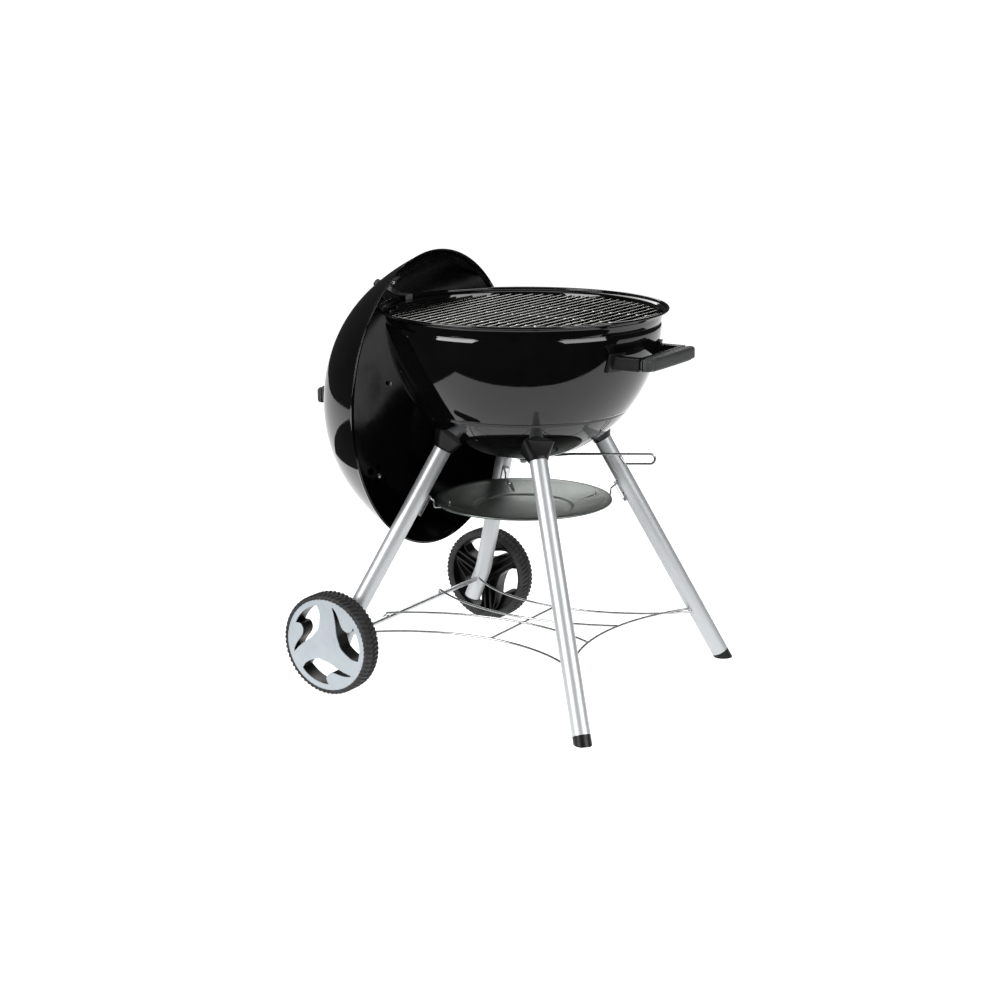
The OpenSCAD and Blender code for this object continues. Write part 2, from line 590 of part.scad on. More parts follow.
module lid_damper(s) color("#8d9092") lid_place() vent_place(s) difference() {
    translate([0, 0, 0.6]) linear_extrude(1.6) {
        circle(r = 32);
        translate([s > 0 ? 20 : -52, -7]) square([32, 14]);
    }
    vent_holes(7, 20);
    cylinder(r = 2.5 + fit, h = 10);
    translate([s * 44, 0, 0]) cylinder(r = 2.1, h = 10);
}

module damper_knob(s) color("#2b2d30") lid_place() vent_place(s) translate([s * 44, 0, 2.25]) {
    translate([0, 0, -3]) cylinder(r = 2.05, h = 6);
    cylinder(r1 = 7, r2 = 9.5, h = 6);
    translate([0, 0, 6 - eps]) cylinder(r1 = 9.5, r2 = 8, h = 9);
}

module damper_rivet(s) color("#c4c7c9") lid_place() vent_place(s) {
    translate([0, 0, -3]) cylinder(r = 2.5, h = 6);
    translate([0, 0, 2.4]) cylinder(r1 = 5.5, r2 = 3.5, h = 2);
    translate([0, 0, -4.4]) cylinder(r1 = 3.5, r2 = 5.5, h = 2);
}

bowl();
bowl_handle();
bowl_handle_grip();
bowl_handle_bolts();
cooking_grate_brackets();
charcoal_grate_brackets();
leg_socket(1, -1);  // leg_socket_foot_left
leg_socket(1, 1);  // leg_socket_foot_right
leg_socket(-1, -1);  // leg_socket_wheel_left
leg_socket(-1, 1);  // leg_socket_wheel_right
leg_foot(-1);  // leg_foot_left
leg_foot(1);  // leg_foot_right
leg_wheel(-1);  // leg_wheel_left
leg_wheel(1);  // leg_wheel_right
leg_bolts();
foot_cap(-1);  // foot_cap_left
foot_cap(1);  // foot_cap_right
leg_end_plugs();
axle();
axle_washers();
axle_nuts();
tyre(-1);  // tyre_left
wheel_core(-1);  // wheel_core_left
wheel_cover(-1);  // wheel_cover_left
hub_bush(-1);  // hub_bush_left
tyre(1);  // tyre_right
wheel_core(1);  // wheel_core_right
wheel_cover(1);  // wheel_cover_right
hub_bush(1);  // hub_bush_right
shelf_side_wire(-1);  // shelf_side_wire_left
shelf_side_wire(1);  // shelf_side_wire_right
shelf_inner_wire(-1);  // shelf_inner_wire_left
shelf_inner_wire(1);  // shelf_inner_wire_right
shelf_front_wire();
shelf_cross_wire();
ash_pan();
ash_pan_hooks();
ash_pan_clips();
cooking_grate_ring();
cooking_grate_bars();
cooking_grate_cross_bars();
charcoal_grate_ring();
charcoal_grate_bars();
charcoal_grate_cross_bars();
ash_sweeper();
ash_lever();
lever_pivot();
lever_nut();
lid();
lid_handle();
lid_handle_grip();
lid_handle_bolts();
lid_hook();
lid_hook_rivets();
lid_damper(1);  // lid_damper_upper
lid_damper(-1);  // lid_damper_lower
damper_knob(1);  // damper_knob_upper
damper_knob(-1);  // damper_knob_lower
damper_rivet(1);  // damper_rivet_upper
damper_rivet(-1);  // damper_rivet_lower
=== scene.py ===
"""Looks of the kettle charcoal grill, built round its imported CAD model.

All shapes are written in millimetres about the bowl's axis, as in the CAD source, and
moved to the row frame, in metres, by at().
"""

import json
import math
import random

import bmesh
import bpy
from mathutils import Matrix, Vector


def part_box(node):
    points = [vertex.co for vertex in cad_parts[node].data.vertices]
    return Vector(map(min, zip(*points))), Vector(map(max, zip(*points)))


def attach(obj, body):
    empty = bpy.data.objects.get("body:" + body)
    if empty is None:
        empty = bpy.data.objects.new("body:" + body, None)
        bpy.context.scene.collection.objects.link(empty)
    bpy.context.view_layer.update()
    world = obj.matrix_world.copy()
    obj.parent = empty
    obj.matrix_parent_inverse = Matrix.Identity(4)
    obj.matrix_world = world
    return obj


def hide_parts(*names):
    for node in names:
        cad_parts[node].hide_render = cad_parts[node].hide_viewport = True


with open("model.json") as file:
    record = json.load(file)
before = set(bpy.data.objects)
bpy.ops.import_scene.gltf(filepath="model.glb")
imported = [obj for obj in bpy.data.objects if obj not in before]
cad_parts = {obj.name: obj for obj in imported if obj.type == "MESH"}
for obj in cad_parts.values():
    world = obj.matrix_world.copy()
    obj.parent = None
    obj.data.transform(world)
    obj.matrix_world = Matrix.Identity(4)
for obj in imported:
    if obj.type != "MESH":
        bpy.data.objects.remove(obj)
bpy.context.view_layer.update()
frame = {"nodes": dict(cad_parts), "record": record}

nodes = frame["nodes"]
random.seed(7)

# ---------------------------------------------------------------- sizes, in mm
bowl_low, bowl_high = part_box("bowl")
AXIS_X = (bowl_low[0] + bowl_high[0]) / 2 * 1000   # the bowl's axis in the row frame

LIP_R, RIM_Z = 285.0, 752.0
BODY_R, COLLAR_H, BODY_H, WALL = 270.5, 30.0, 269.0, 1.6
BODY_Z = RIM_Z - COLLAR_H
BOTTOM_Z = BODY_Z - BODY_H
SLOT_W = 17.0

LEG_R, LEG_WALL = 17.5, 1.5
LEG_TOP = (108.5, 126.5, 476.0)
FOOT = (305.5, 300.7)
LEG_DX = (FOOT[0] - LEG_TOP[0]) / LEG_TOP[2]
LEG_DY = (FOOT[1] - LEG_TOP[1]) / LEG_TOP[2]
BEND_Z, LEG_END_Z, CAP_Z = 126.0, 56.0, 14.0
BEND_X = LEG_TOP[0] + LEG_DX * (LEG_TOP[2] - BEND_Z)

WHEEL_R, WHEEL_W, TRACK_Y, AXLE_R, COVER_R = 101.0, 42.0, 295.0, 5.0, 92.0
PAINTED_SHADE_DEPTH = 3.0   # how deep the grey of a wheel cover's face goes; faces deeper than this get the black moulding as painted shade
AXLE_X = BEND_X + LEG_DX * (BEND_Z - WHEEL_R)

LID_R, DOME_R, LID_H = 299.0, 300.0, 189.5
LID_X, LID_Z, LID_TILT = 198.5, 551.0, 1.0
LID_GRIP_Z, VENT_R = 241.5, 180.0

PAN_R, PAN_Z, WELL_R = 177.0, 366.0, 100.0
WIRE_R = 2.25
LEVER_AZ, LEVER_L = 30.0, 262.0
HANDLE_Z, HANDLE_OUT, HANDLE_L, GRIP_T, ARM_W = 673.0, 332.0, 196.0, 26.0, 20.0
ARM_Y = HANDLE_L / 2 - ARM_W / 2


def at(p):
    """A point in mm about the bowl's axis, as a point in the row frame."""
    return Vector(((p[0] + AXIS_X) / 1000, p[1] / 1000, p[2] / 1000))


# ---------------------------------------------------------------- mesh helpers
def mesh_object(name, verts, faces, smooth=True, uvs=None):
    """verts are in mm about the bowl's axis."""
    mesh = bpy.data.meshes.new(name)
    mesh.from_pydata([at(v) for v in verts], [], faces)
    if uvs is not None:
        layer = mesh.uv_layers.new(name="UVMap")
        for loop in mesh.loops:
            layer.data[loop.index].uv = uvs[loop.vertex_index]
    obj = bpy.data.objects.new(name, mesh)
    bpy.context.scene.collection.objects.link(obj)
    if smooth:
        mesh.polygons.foreach_set("use_smooth", [True] * len(mesh.polygons))
    return obj


def tidy_normals(obj):
    bm = bmesh.new()
    bm.from_mesh(obj.data)
    bmesh.ops.recalc_face_normals(bm, faces=bm.faces)
    bm.to_mesh(obj.data)
    bm.free()


def apply_modifiers(obj):
    dg = bpy.context.evaluated_depsgraph_get()
    mesh = bpy.data.meshes.new_from_object(obj.evaluated_get(dg), depsgraph=dg)
    obj.modifiers.clear()
    old = obj.data
    obj.data = mesh
    bpy.data.meshes.remove(old)


def soften(obj, width, segments=3, angle=35):
    """Rounds the edges of a hard-edged piece by width mm."""
    mod = obj.modifiers.new("round", "BEVEL")
    mod.width = width / 1000
    mod.segments = segments
    mod.limit_method = "ANGLE"
    mod.angle_limit = math.radians(angle)
    mod.harden_normals = True
    for p in obj.data.polygons:
        p.use_smooth = True
    apply_modifiers(obj)


def cut(obj, *cutters):
    """Takes the cutters out of obj and deletes them."""
    for c in cutters:
        mod = obj.modifiers.new("cut", "BOOLEAN")
        mod.object = c
        mod.operation = "DIFFERENCE"
        mod.solver = "EXACT"
    apply_modifiers(obj)
    for c in cutters:
        bpy.data.objects.remove(c)


def join(name, objs):
    bpy.ops.object.select_all(action="DESELECT")
    for o in objs:
        o.select_set(True)
    bpy.context.view_layer.objects.active = objs[0]
    bpy.ops.object.join()
    objs[0].name = name
    objs[0].data.name = name
    return objs[0]


def basis(direction, near=(0, 0, 1)):
    """Two unit vectors square to direction."""
    d = Vector(direction).normalized()
    ref = Vector(near)
    if abs(d.dot(ref)) > 0.98:
        ref = Vector((1, 0, 0)) if abs(d.x) < 0.9 else Vector((0, 1, 0))
    u = (ref - d * ref.dot(d)).normalized()
    return u, d.cross(u)


def revolve(name, profile, segments=192, origin=(0, 0, 0), axis=(0, 0, 1), sharp=30):
    """Turns a list of (r, z) round an axis; a point with r = 0 closes the end."""
    d = Vector(axis).normalized()
    u, v = basis(d, (1, 0, 0))
    o = Vector(origin)
    verts, faces, uvs, rows = [], [], [], []
    length = 0.0
    for i, (r, z) in enumerate(profile):
        if i:
            length += math.dist(profile[i - 1], (r, z))
        row = []
        count = 1 if r < 1e-6 else segments
        for k in range(count):
            a = 2 * math.pi * k / segments
            row.append(len(verts))
            verts.append(o + d * z + u * (r * math.cos(a)) + v * (r * math.sin(a)))
            uvs.append((k / segments, length / 1000))
        rows.append(row)
    for a, b in zip(rows, rows[1:]):
        for k in range(segments):
            n = (k + 1) % segments
            if len(a) == 1 and len(b) == 1:
                continue
            if len(a) == 1:
                faces.append((a[0], b[n], b[k]))
            elif len(b) == 1:
                faces.append((a[k], a[n], b[0]))
            else:
                faces.append((a[k], a[n], b[n], b[k]))
    obj = mesh_object(name, verts, faces, uvs=uvs)
    tidy_normals(obj)
    if sharp:
        obj.data.set_sharp_from_angle(angle=math.radians(sharp))
    return obj


def closed(profile):
    return list(profile) + [profile[0]]


def arc(cx, cz, r, a, b, n):
    """Points of an arc in the (r, z) plane, angles in degrees."""
    return [(cx + r * math.cos(math.radians(a + (b - a) * i / n)),
             cz + r * math.sin(math.radians(a + (b - a) * i / n))) for i in range(n + 1)]


def rounded(points, radii, steps=6, loop=False):
    """A polyline with its corners rounded; points are Vectors, radii one number or a list."""
    pts = [Vector(p) for p in points]
    n = len(pts)
    if not isinstance(radii, (list, tuple)):
        radii = [radii] * n
    out = []
    for i, p in enumerate(pts):
        if not loop and i in (0, n - 1):
            out.append(p)
            continue
        a, b = pts[i - 1] - p, pts[(i + 1) % n] - p
        la, lb = a.length, b.length
        a, b = a / la, b / lb
        angle = a.angle(b)
        if angle > math.pi - 0.01 or radii[i] <= 0:
            out.append(p)
            continue
        reach = min(radii[i] / math.tan(angle / 2), la * 0.49, lb * 0.49)
        s, e = p + a * reach, p + b * reach
        r = reach * math.tan(angle / 2)
        centre = p + (a + b).normalized() * (r / math.sin(angle / 2))
        vs, ve = s - centre, e - centre
        turn = vs.angle(ve)
        for k in range(steps + 1):
            t = k / steps
            w1 = math.sin((1 - t) * turn) / math.sin(turn)
            w2 = math.sin(t * turn) / math.sin(turn)
            out.append(centre + vs * w1 + ve * w2)
    return out


def tube(name, path, radius, sides=20, inner=None, ball=False, loop=False):
    """A round tube along a path. inner makes it hollow; ball rounds its ends."""
    pts = [Vector(p) for p in path]
    n = len(pts)
    tang = []
    for i in range(n):
        if loop:
            t = pts[(i + 1) % n] - pts[i - 1]
        else:
            t = pts[min(i + 1, n - 1)] - pts[max(i - 1, 0)]
        tang.append(t.normalized())
    u, _ = basis(tang[0])
    rings = []
    run = 0.0
    for i in range(n):
        u = (u - tang[i] * u.dot(tang[i])).normalized()
        rings.append((pts[i], tang[i], u.copy(), radius, run))
        if i + 1 < n:
            run += (pts[i + 1] - pts[i]).length
    if ball and not loop:
        first, last = rings[0], rings[-1]
        extra_a = [(first[0] - first[1] * radius * math.sin(t), first[1], first[2], radius * math.cos(t),
                    first[4])
                   for t in (1.5, 1.1, 0.7, 0.35)]
        extra_b = [(last[0] + last[1] * radius * math.sin(t), last[1], last[2], radius * math.cos(t), last[4])
                   for t in (0.35, 0.7, 1.1, 1.5)]
        rings = extra_a + rings + extra_b
    verts, uvs, faces = [], [], []

    def wall(scale, offset):
        start = len(verts)
        for c, t, uu, r, run_at in rings:
            vv = t.cross(uu)
            for k in range(sides):
                a = 2 * math.pi * k / sides
                verts.append(c + (uu * math.cos(a) + vv * math.sin(a)) * (r * scale + offset))
                uvs.append((k / sides, run_at / 1000))
        return start

    s0 = wall(1, 0)
    m = len(rings)
    last = m if loop else m - 1

    def quads(s, flip):
        for i in range(last):
            for k in range(sides):
                a, b = s + i * sides, s + ((i + 1) % m) * sides
                q = (a + k, a + (k + 1) % sides, b + (k + 1) % sides, b + k)
                faces.append(q[::-1] if flip else q)

    quads(s0, False)
    if not loop:
        if inner is None:
            faces.append(tuple(range(s0, s0 + sides))[::-1])
            faces.append(tuple(range(s0 + (m - 1) * sides, s0 + m * sides)))
        else:
            s1 = wall(1, inner - radius)
            quads(s1, True)
            for i in (0, m - 1):
                for k in range(sides):
                    a, b = s0 + i * sides, s1 + i * sides
                    q = (a + k, b + k, b + (k + 1) % sides, a + (k + 1) % sides)
                    faces.append(q if i == 0 else q[::-1])
    obj = mesh_object(name, verts, faces, uvs=uvs)
    tidy_normals(obj)
    obj.data.set_sharp_from_angle(angle=math.radians(40))
    return obj


def prism(name, outline, low, high, place=lambda p: p, holes=()):
    """A flat outline, with holes, pushed from low to high along Z; place moves each point."""
    bm = bmesh.new()
    edges = []
    for ring in [outline, *holes]:
        vs = [bm.verts.new((x, y, low)) for x, y in ring]
        edges += [bm.edges.new((vs[i], vs[(i + 1) % len(vs)])) for i in range(len(vs))]
    if holes:
        bmesh.ops.triangle_fill(bm, edges=edges, use_beauty=True, use_dissolve=True)
    else:
        bm.faces.new([v for v in bm.verts])
    got = bmesh.ops.extrude_face_region(bm, geom=bm.faces[:])
    for v in got["geom"]:
        if isinstance(v, bmesh.types.BMVert):
            v.co.z = high
    bmesh.ops.recalc_face_normals(bm, faces=bm.faces)
    for v in bm.verts:
        v.co = at(place(Vector(v.co)))
    bmesh.ops.recalc_face_normals(bm, faces=bm.faces)
    mesh = bpy.data.meshes.new(name)
    bm.to_mesh(mesh)
    bm.free()
    obj = bpy.data.objects.new(name, mesh)
    bpy.context.scene.collection.objects.link(obj)
    return obj


def rounded_rect(w, h, r, n=8, cx=0, cy=0):
    pts = []
    for sx, sy, a in ((1, 1, 0), (-1, 1, 90), (-1, -1, 180), (1, -1, 270)):
        pts += arc(cx + sx * (w / 2 - r), cy + sy * (h / 2 - r), r, a, a + 90, n)
    return pts


def circle_points(cx, cy, r, n=32):
    return [(cx + r * math.cos(2 * math.pi * k / n), cy + r * math.sin(2 * math.pi * k / n))
            for k in range(n)]


# ---------------------------------------------------------------- materials
def material(name, color, rough, metal=0.0, **sockets):
    mat = bpy.data.materials.new(name)
    mat.use_nodes = True
    bsdf = mat.node_tree.nodes["Principled BSDF"]
    bsdf.inputs["Base Color"].default_value = (*color, 1)
    bsdf.inputs["Roughness"].default_value = rough
    bsdf.inputs["Metallic"].default_value = metal
    for key, value in sockets.items():
        bsdf.inputs[key.replace("_", " ")].default_value = value
    return mat


class Nodes:
    """Small helper to add and link shader nodes."""

    def __init__(self, mat):
        self.tree = mat.node_tree
        self.bsdf = self.tree.nodes["Principled BSDF"]

    def add(self, kind, **values):
        node = self.tree.nodes.new(kind)
        for key, value in values.items():
            if hasattr(node, key):
                setattr(node, key, value)
            else:
                node.inputs[key.replace("_", " ")].default_value = value
        return node

    def link(self, a, b):
        self.tree.links.new(a, b)

    def coords(self, kind="Object", scale=(1, 1, 1), turn=(0, 0, 0)):
        tc = self.add("ShaderNodeTexCoord")
        mp = self.add("ShaderNodeMapping")
        mp.inputs["Scale"].default_value = scale
        mp.inputs["Rotation"].default_value = turn
        self.link(tc.outputs[kind], mp.inputs["Vector"])
        return mp.outputs["Vector"]

    def noise(self, vector, scale, detail=4.0, rough=0.55, distortion=0.0):
        node = self.add("ShaderNodeTexNoise", Scale=scale, Detail=detail, Roughness=rough,
                        Distortion=distortion)
        self.link(vector, node.inputs["Vector"])
        return node.outputs["Fac"]

    def ramp(self, fac, stops):
        node = self.add("ShaderNodeValToRGB")
        ramp = node.color_ramp
        while len(ramp.elements) < len(stops):
            ramp.elements.new(0.5)
        for element, (pos, col) in zip(ramp.elements, stops):
            element.position = pos
            element.color = (*col, 1) if isinstance(col, (tuple, list)) else (col, col, col, 1)
        self.link(fac, node.inputs["Fac"])
        return node.outputs["Color"]

    def span(self, fac, low, high, from_low=0.3, from_high=0.7):
        node = self.add("ShaderNodeMapRange")
        node.inputs["From Min"].default_value = from_low
        node.inputs["From Max"].default_value = from_high
        node.inputs["To Min"].default_value = low
        node.inputs["To Max"].default_value = high
        self.link(fac, node.inputs["Value"])
        return node.outputs["Result"]

    def color(self, out):
        self.link(out, self.bsdf.inputs["Base Color"])

    def rough(self, out):
        self.link(out, self.bsdf.inputs["Roughness"])

    def bump(self, height, strength, distance):
        node = self.add("ShaderNodeBump", Strength=strength, Distance=distance)
        self.link(height, node.inputs["Height"])
        previous = self.bsdf.inputs["Normal"]
        if previous.is_linked:
            self.link(previous.links[0].from_socket, node.inputs["Normal"])
        self.link(node.outputs["Normal"], self.bsdf.inputs["Normal"])


def enamel(name, dark=(0.0012, 0.0012, 0.0012), light=(0.003, 0.003, 0.003), spec=0.5, rough=(0.03, 0.07)):
    """Glossy porcelain enamel: a faint orange peel and a soft haze in places."""
    mat = material(name, dark, 0.09, Specular_IOR_Level=spec, IOR=1.46)
    n = Nodes(mat)
    obj = n.coords()
    cloud = n.noise(obj, 9, 3)
    n.color(n.ramp(cloud, [(0.35, dark), (0.7, light)]))
    haze = n.noise(obj, 30, 6, 0.6)
    n.rough(n.span(haze, *rough))
    peel = n.noise(obj, 220, 2)
    n.bump(peel, 0.018, 0.001)
    return mat


def satin_tube(name):
    """Drawn, anodised tube: fine lines along its length in colour, gloss and relief."""
    mat = material(name, (0.6, 0.61, 0.62), 0.4, 0.55)
    n = Nodes(mat)
    lines = n.coords("UV", (60, 1.5, 1))
    streak = n.noise(lines, 6, 5, 0.65)
    n.color(n.ramp(streak,
                   [(0.25, (0.41, 0.425, 0.435)), (0.5, (0.465, 0.48, 0.49)), (0.8, (0.52, 0.535, 0.545))]))
    fine = n.noise(n.coords("UV", (260, 3, 1)), 8, 3, 0.7)
    n.rough(n.span(fine, 0.34, 0.48))
    n.bump(fine, 0.06, 0.0004)
    n.bump(n.noise(n.coords(), 60, 3), 0.03, 0.001)
    return mat


def moulded(name, dark, light, rough=(0.5, 0.62), grain=700, depth=0.35, spec=0.5):
    """Moulded plastic with a fine spark-eroded grain and faint flow marks."""
    mat = material(name, dark, rough[0], Specular_IOR_Level=spec)
    n = Nodes(mat)
    obj = n.coords()
    flow = n.noise(obj, 24, 4, 0.6, 0.4)
    n.color(n.ramp(flow, [(0.3, dark), (0.72, light)]))
    n.rough(n.span(n.noise(obj, 90, 4), *rough))
    n.bump(n.noise(obj, grain, 2, 0.6), depth, 0.00025)
    return mat


def plated(name, color, rough=(0.14, 0.26), blotch=0.12, scale=70):
    """Zinc or chrome plate: cloudy colour, uneven gloss and a slightly rippled skin."""
    mat = material(name, color, rough[0], 1.0)
    n = Nodes(mat)
    obj = n.coords()
    low = tuple(c * (1 - blotch) for c in color)
    high = tuple(min(1, c * (1 + blotch)) for c in color)
    n.color(n.ramp(n.noise(obj, scale, 5, 0.6), [(0.3, low), (0.7, high)]))
    n.rough(n.span(n.noise(obj, scale * 2.2, 3), *rough))
    n.bump(n.noise(obj, scale * 3, 2), 0.05, 0.0006)
    return mat


def galvanised(name):
    """Hot-dipped sheet: large soft spangles, greenish grey, with faint drawing rings."""
    mat = material(name, (0.42, 0.45, 0.42), 0.4, 0.85)
    n = Nodes(mat)
    obj = n.coords()
    cells = n.add("ShaderNodeTexVoronoi", Scale=85)
    n.link(obj, cells.inputs["Vector"])
    tone = n.add("ShaderNodeSeparateColor")
    n.link(cells.outputs["Color"], tone.inputs["Color"])
    cloud = n.noise(obj, 14, 4, 0.6)
    mix = n.add("ShaderNodeMath", operation="MULTIPLY_ADD")
    n.link(tone.outputs["Red"], mix.inputs[0])
    mix.inputs[1].default_value = 0.22
    n.link(cloud, mix.inputs[2])
    n.color(n.ramp(mix.outputs[0],
                   [(0.35, (0.10, 0.113, 0.104)), (0.6, (0.132, 0.147, 0.135)),
                    (0.85, (0.17, 0.186, 0.173))]))
    n.rough(n.span(mix.outputs[0], 0.3, 0.46, 0.3, 0.9))
    n.bump(n.noise(n.coords("UV", (1, 260, 1)), 3, 2), 0.05, 0.0006)
    n.bump(n.noise(obj, 40, 3), 0.05, 0.002)
    return mat


def rubber(name):
    mat = material(name, (0.018, 0.018, 0.019), 0.72, Specular_IOR_Level=0.35)
    n = Nodes(mat)
    obj = n.coords()
    n.color(n.ramp(n.noise(obj, 40, 5, 0.65), [(0.3, (0.012, 0.012, 0.013)), (0.75, (0.032, 0.032, 0.033))]))
    n.rough(n.span(n.noise(obj, 120, 3), 0.6, 0.82))
    n.bump(n.noise(obj, 500, 3, 0.6), 0.4, 0.0004)
    return mat


M = {
    "black_enamel": enamel("porcelain_enamel"),
    "enamel_inside": enamel("enamel_inside", spec=0.22, rough=(0.10, 0.18)),
    "black_metal": plated("black_painted_steel", (0.02, 0.02, 0.021), (0.35, 0.5), 0.3, 40),
    "dark_plastic": moulded("dark_grey_grip", (0.024, 0.027, 0.026), (0.036, 0.040, 0.038), spec=0.3),
    "black_plastic": moulded("black_moulding", (0.0025, 0.0025, 0.0025), (0.006, 0.006, 0.006), (0.3, 0.42),
                             500, 0.2, 0.25),
    "satin_aluminium": satin_tube("satin_tube"),
    "zinc_steel": plated("zinc_plated_steel", (0.55, 0.56, 0.57), (0.25, 0.4)),
    "chromed_wire": plated("bright_plated_wire", (0.34, 0.345, 0.345), (0.16, 0.28), 0.1, 60),
    "grate_wire": plated("grate_wire", (0.20, 0.20, 0.188), (0.12, 0.22), 0.15, 60),
    "coal_wire": plated("coal_wire", (0.035, 0.034, 0.033), (0.4, 0.55), 0.3, 60),
    "galvanised_sheet": galvanised("galvanised_sheet"),
    "tyre_rubber": rubber("tyre_rubber"),
    "grey_plastic": moulded("blue_grey_cover", (0.30, 0.335, 0.36), (0.35, 0.385, 0.41), (0.42, 0.52), 420,
                            0.15),
}
M["black_metal"].node_tree.nodes["Principled BSDF"].inputs["Metallic"].default_value = 0.0


def piece(obj, body, slot, *replaced, mat=None):
    """Gives a new piece its body, finish and the CAD nodes it stands for."""
    obj.data.materials.clear()
    obj.data.materials.append(mat or M[slot])
    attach(obj, body)
    if replaced:
        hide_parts(*replaced)
    return obj


for node_name, node_obj in nodes.items():
    slot_name = next(s["material_slot"] for s in frame["record"]["subparts"] if s["node"] == node_name)
    node_obj.data.materials.clear()
    if node_name.startswith("cooking_grate_") and slot_name == "chromed_wire":
        slot_name = "grate_wire"
    elif node_name.startswith("charcoal_grate_") and slot_name == "zinc_steel":
        slot_name = "coal_wire"
    node_obj.data.materials.append(M[slot_name])


# ---------------------------------------------------------------- bowl
def bowl_radius(u, r):
    return r * max(0.0, 1 - u ** 1.75) ** (1 / 2.3)


def body_line(grow, count=90):
    """The body's outline from under the collar down to its pole."""
    pts = []
    for i in range(count + 1):
        u = 1 - (1 - i / count) ** 2.2
        r = bowl_radius(u, BODY_R + grow)
        z = BODY_Z - u * (BODY_H + grow)
        pts.append((r, z))
    return pts


CREASE_Z, CREASE_DEPTH = 553.0, 1.5


def creased(line, depth):
    """Adds the pressed line round the lower body: a sharp little step inwards."""
    out = []
    for (r0, z0), (r1, z1) in zip(line, line[1:]):
        out.append((r0, z0))
        if z0 > CREASE_Z >= z1:
            t = (z0 - CREASE_Z) / (z0 - z1)
            r, z = r0 + (r1 - r0) * t, CREASE_Z
            length = math.hypot(r1 - r0, z1 - z0)
            dr, dz = (r1 - r0) / length, (z1 - z0) / length
            nr, nz = -dz, dr
            out.pop()
            for along, inward in ((-5.0, 0), (-2.0, 0.1), (-0.6, depth), (0.8, depth), (2.4, 0.3), (6.0, 0)):
                out.append((r + dr * along - nr * inward, z + dz * along - nz * inward))
    out.append(line[-1])
    # keep the points in order after the insertion
    keep = [out[0]]
    for p in out[1:]:
        if p[1] < keep[-1][1] - 0.02 or p[0] < keep[-1][0] - 0.5:
            keep.append(p)
    return keep


lip = arc(LIP_R - 3, RIM_Z - 3, 3, 215, -50, 14)
neck_out = [(LIP_R - dr, RIM_Z - dz) for dr, dz in
            ((3.0, 6.1), (7.0, 6.9), (10.4, 7.9), (12.1, 9.6), (13.0, 12.2), (13.8, 16.5), (14.8, 21.5),
             (15.8, 25.4),
             (16.5, 27.0), (16.6, 27.8), (16.2, 28.2))]
# the body's rounded shoulder, below a fine ledge
shoulder = [(LIP_R - 14.6 - 1.75 * (1 - k / 8) ** 2, RIM_Z - 28.6 - k) for k in range(9)]
neck_in = [(r - WALL, z + 0.5) for r, z in reversed(neck_out[1:])]
outer = shoulder + [p for p in creased(body_line(0), CREASE_DEPTH) if p[1] < RIM_Z - 38]
inner = [p for p in body_line(-WALL) if p[1] < RIM_Z - 36]
bowl = revolve("kettle_bowl", closed(lip + neck_out + outer + inner[::-1] + neck_in), 256, sharp=0)


def ash_slots():
    return [prism("slot", [(x * math.cos(math.radians(a)) - y * math.sin(math.radians(a)),
                            x * math.sin(math.radians(a)) + y * math.cos(math.radians(a)))
                           for x, y in rounded_rect(76, SLOT_W, SLOT_W / 2 - 0.1, 10, cx=75)],
                  BOTTOM_Z - 5, BOTTOM_Z + 75) for a in (-15, 105, 225)]


def with_normals_of(obj, source):
    """Keeps the smooth shading of source on obj after a cut."""
    mod = obj.modifiers.new("shade", "DATA_TRANSFER")
    mod.object = source
    mod.use_loop_data = True
    mod.data_types_loops = {"CUSTOM_NORMAL"}
    mod.loop_mapping = "NEAREST_POLYNOR"
    apply_modifiers(obj)


def copy_of(obj):
    twin = obj.copy()
    twin.data = obj.data.copy()
    bpy.context.scene.collection.objects.link(twin)
    return twin


cut(bowl, *ash_slots(),
    revolve("bore", [(0, BOTTOM_Z - 5), (4.06, BOTTOM_Z - 5), (4.06, BOTTOM_Z + 20), (0, BOTTOM_Z + 20)], 48))
piece(bowl, "stand", "black_enamel", "bowl")


# ---------------------------------------------------------------- lid
TILT = math.radians(-90 - LID_TILT)
LID_MATRIX = Matrix.Translation((-LID_X, 0, LID_Z)) @ Matrix.Rotation(TILT, 4, "Y")


def on_lid(p):
    """A point of the lid's own frame (mouth at z = 0, dome up +Z), as it hangs on the rim."""
    return LID_MATRIX @ Vector(p)


def move_to(obj, matrix):
    """Moves a piece made about the bowl's axis by a matrix in mm."""
    shift = Matrix.Translation(at((0, 0, 0)))
    scale = Matrix.Translation(matrix.to_translation() / 1000) @ matrix.to_3x3().to_4x4()
    obj.data.transform(shift @ scale @ shift.inverted())


def dome_z(r, grow=0.0):
    return (LID_H + grow) * (1 - (r / (DOME_R + grow)) ** 3.43)


def dome_line(start, grow, count=80):
    return [(start * math.cos(math.pi / 2 * i / count),
             dome_z(start * math.cos(math.pi / 2 * i / count), grow))
            for i in range(count + 1)]


DOME_START = LID_R - 5.7
lid_rim = arc(LID_R - 2.1, 2.2, 2.1, 230, 20, 10)
lid_skirt = [(LID_R - 0.9, 4.6), (LID_R - 2.0, 6.6), (LID_R - 3.2, 8.4)]
lid_out = [p for p in dome_line(DOME_START, 0) if p[1] > 10]
lid_in = [p for p in dome_line(DOME_START - WALL, -WALL) if p[1] > 13]
lid_step = [(LID_R - 5.4 - WALL, 12.4), (LID_R - 4.6 - WALL, 11.0), (LID_R - 4.2 - WALL, 6.0)]
lid = revolve("domed_lid", closed(lid_rim + lid_skirt + lid_out + lid_in[::-1] + lid_step), 256, sharp=0)
whole = copy_of(lid)
LEAN = math.atan(LID_H * 3.43 / DOME_R * (VENT_R / DOME_R) ** 2.43)


def vent_matrix(side):
    return (Matrix.Translation((side * VENT_R, 0, dome_z(VENT_R)))
            @ Matrix.Rotation(side * LEAN, 4, "Y"))


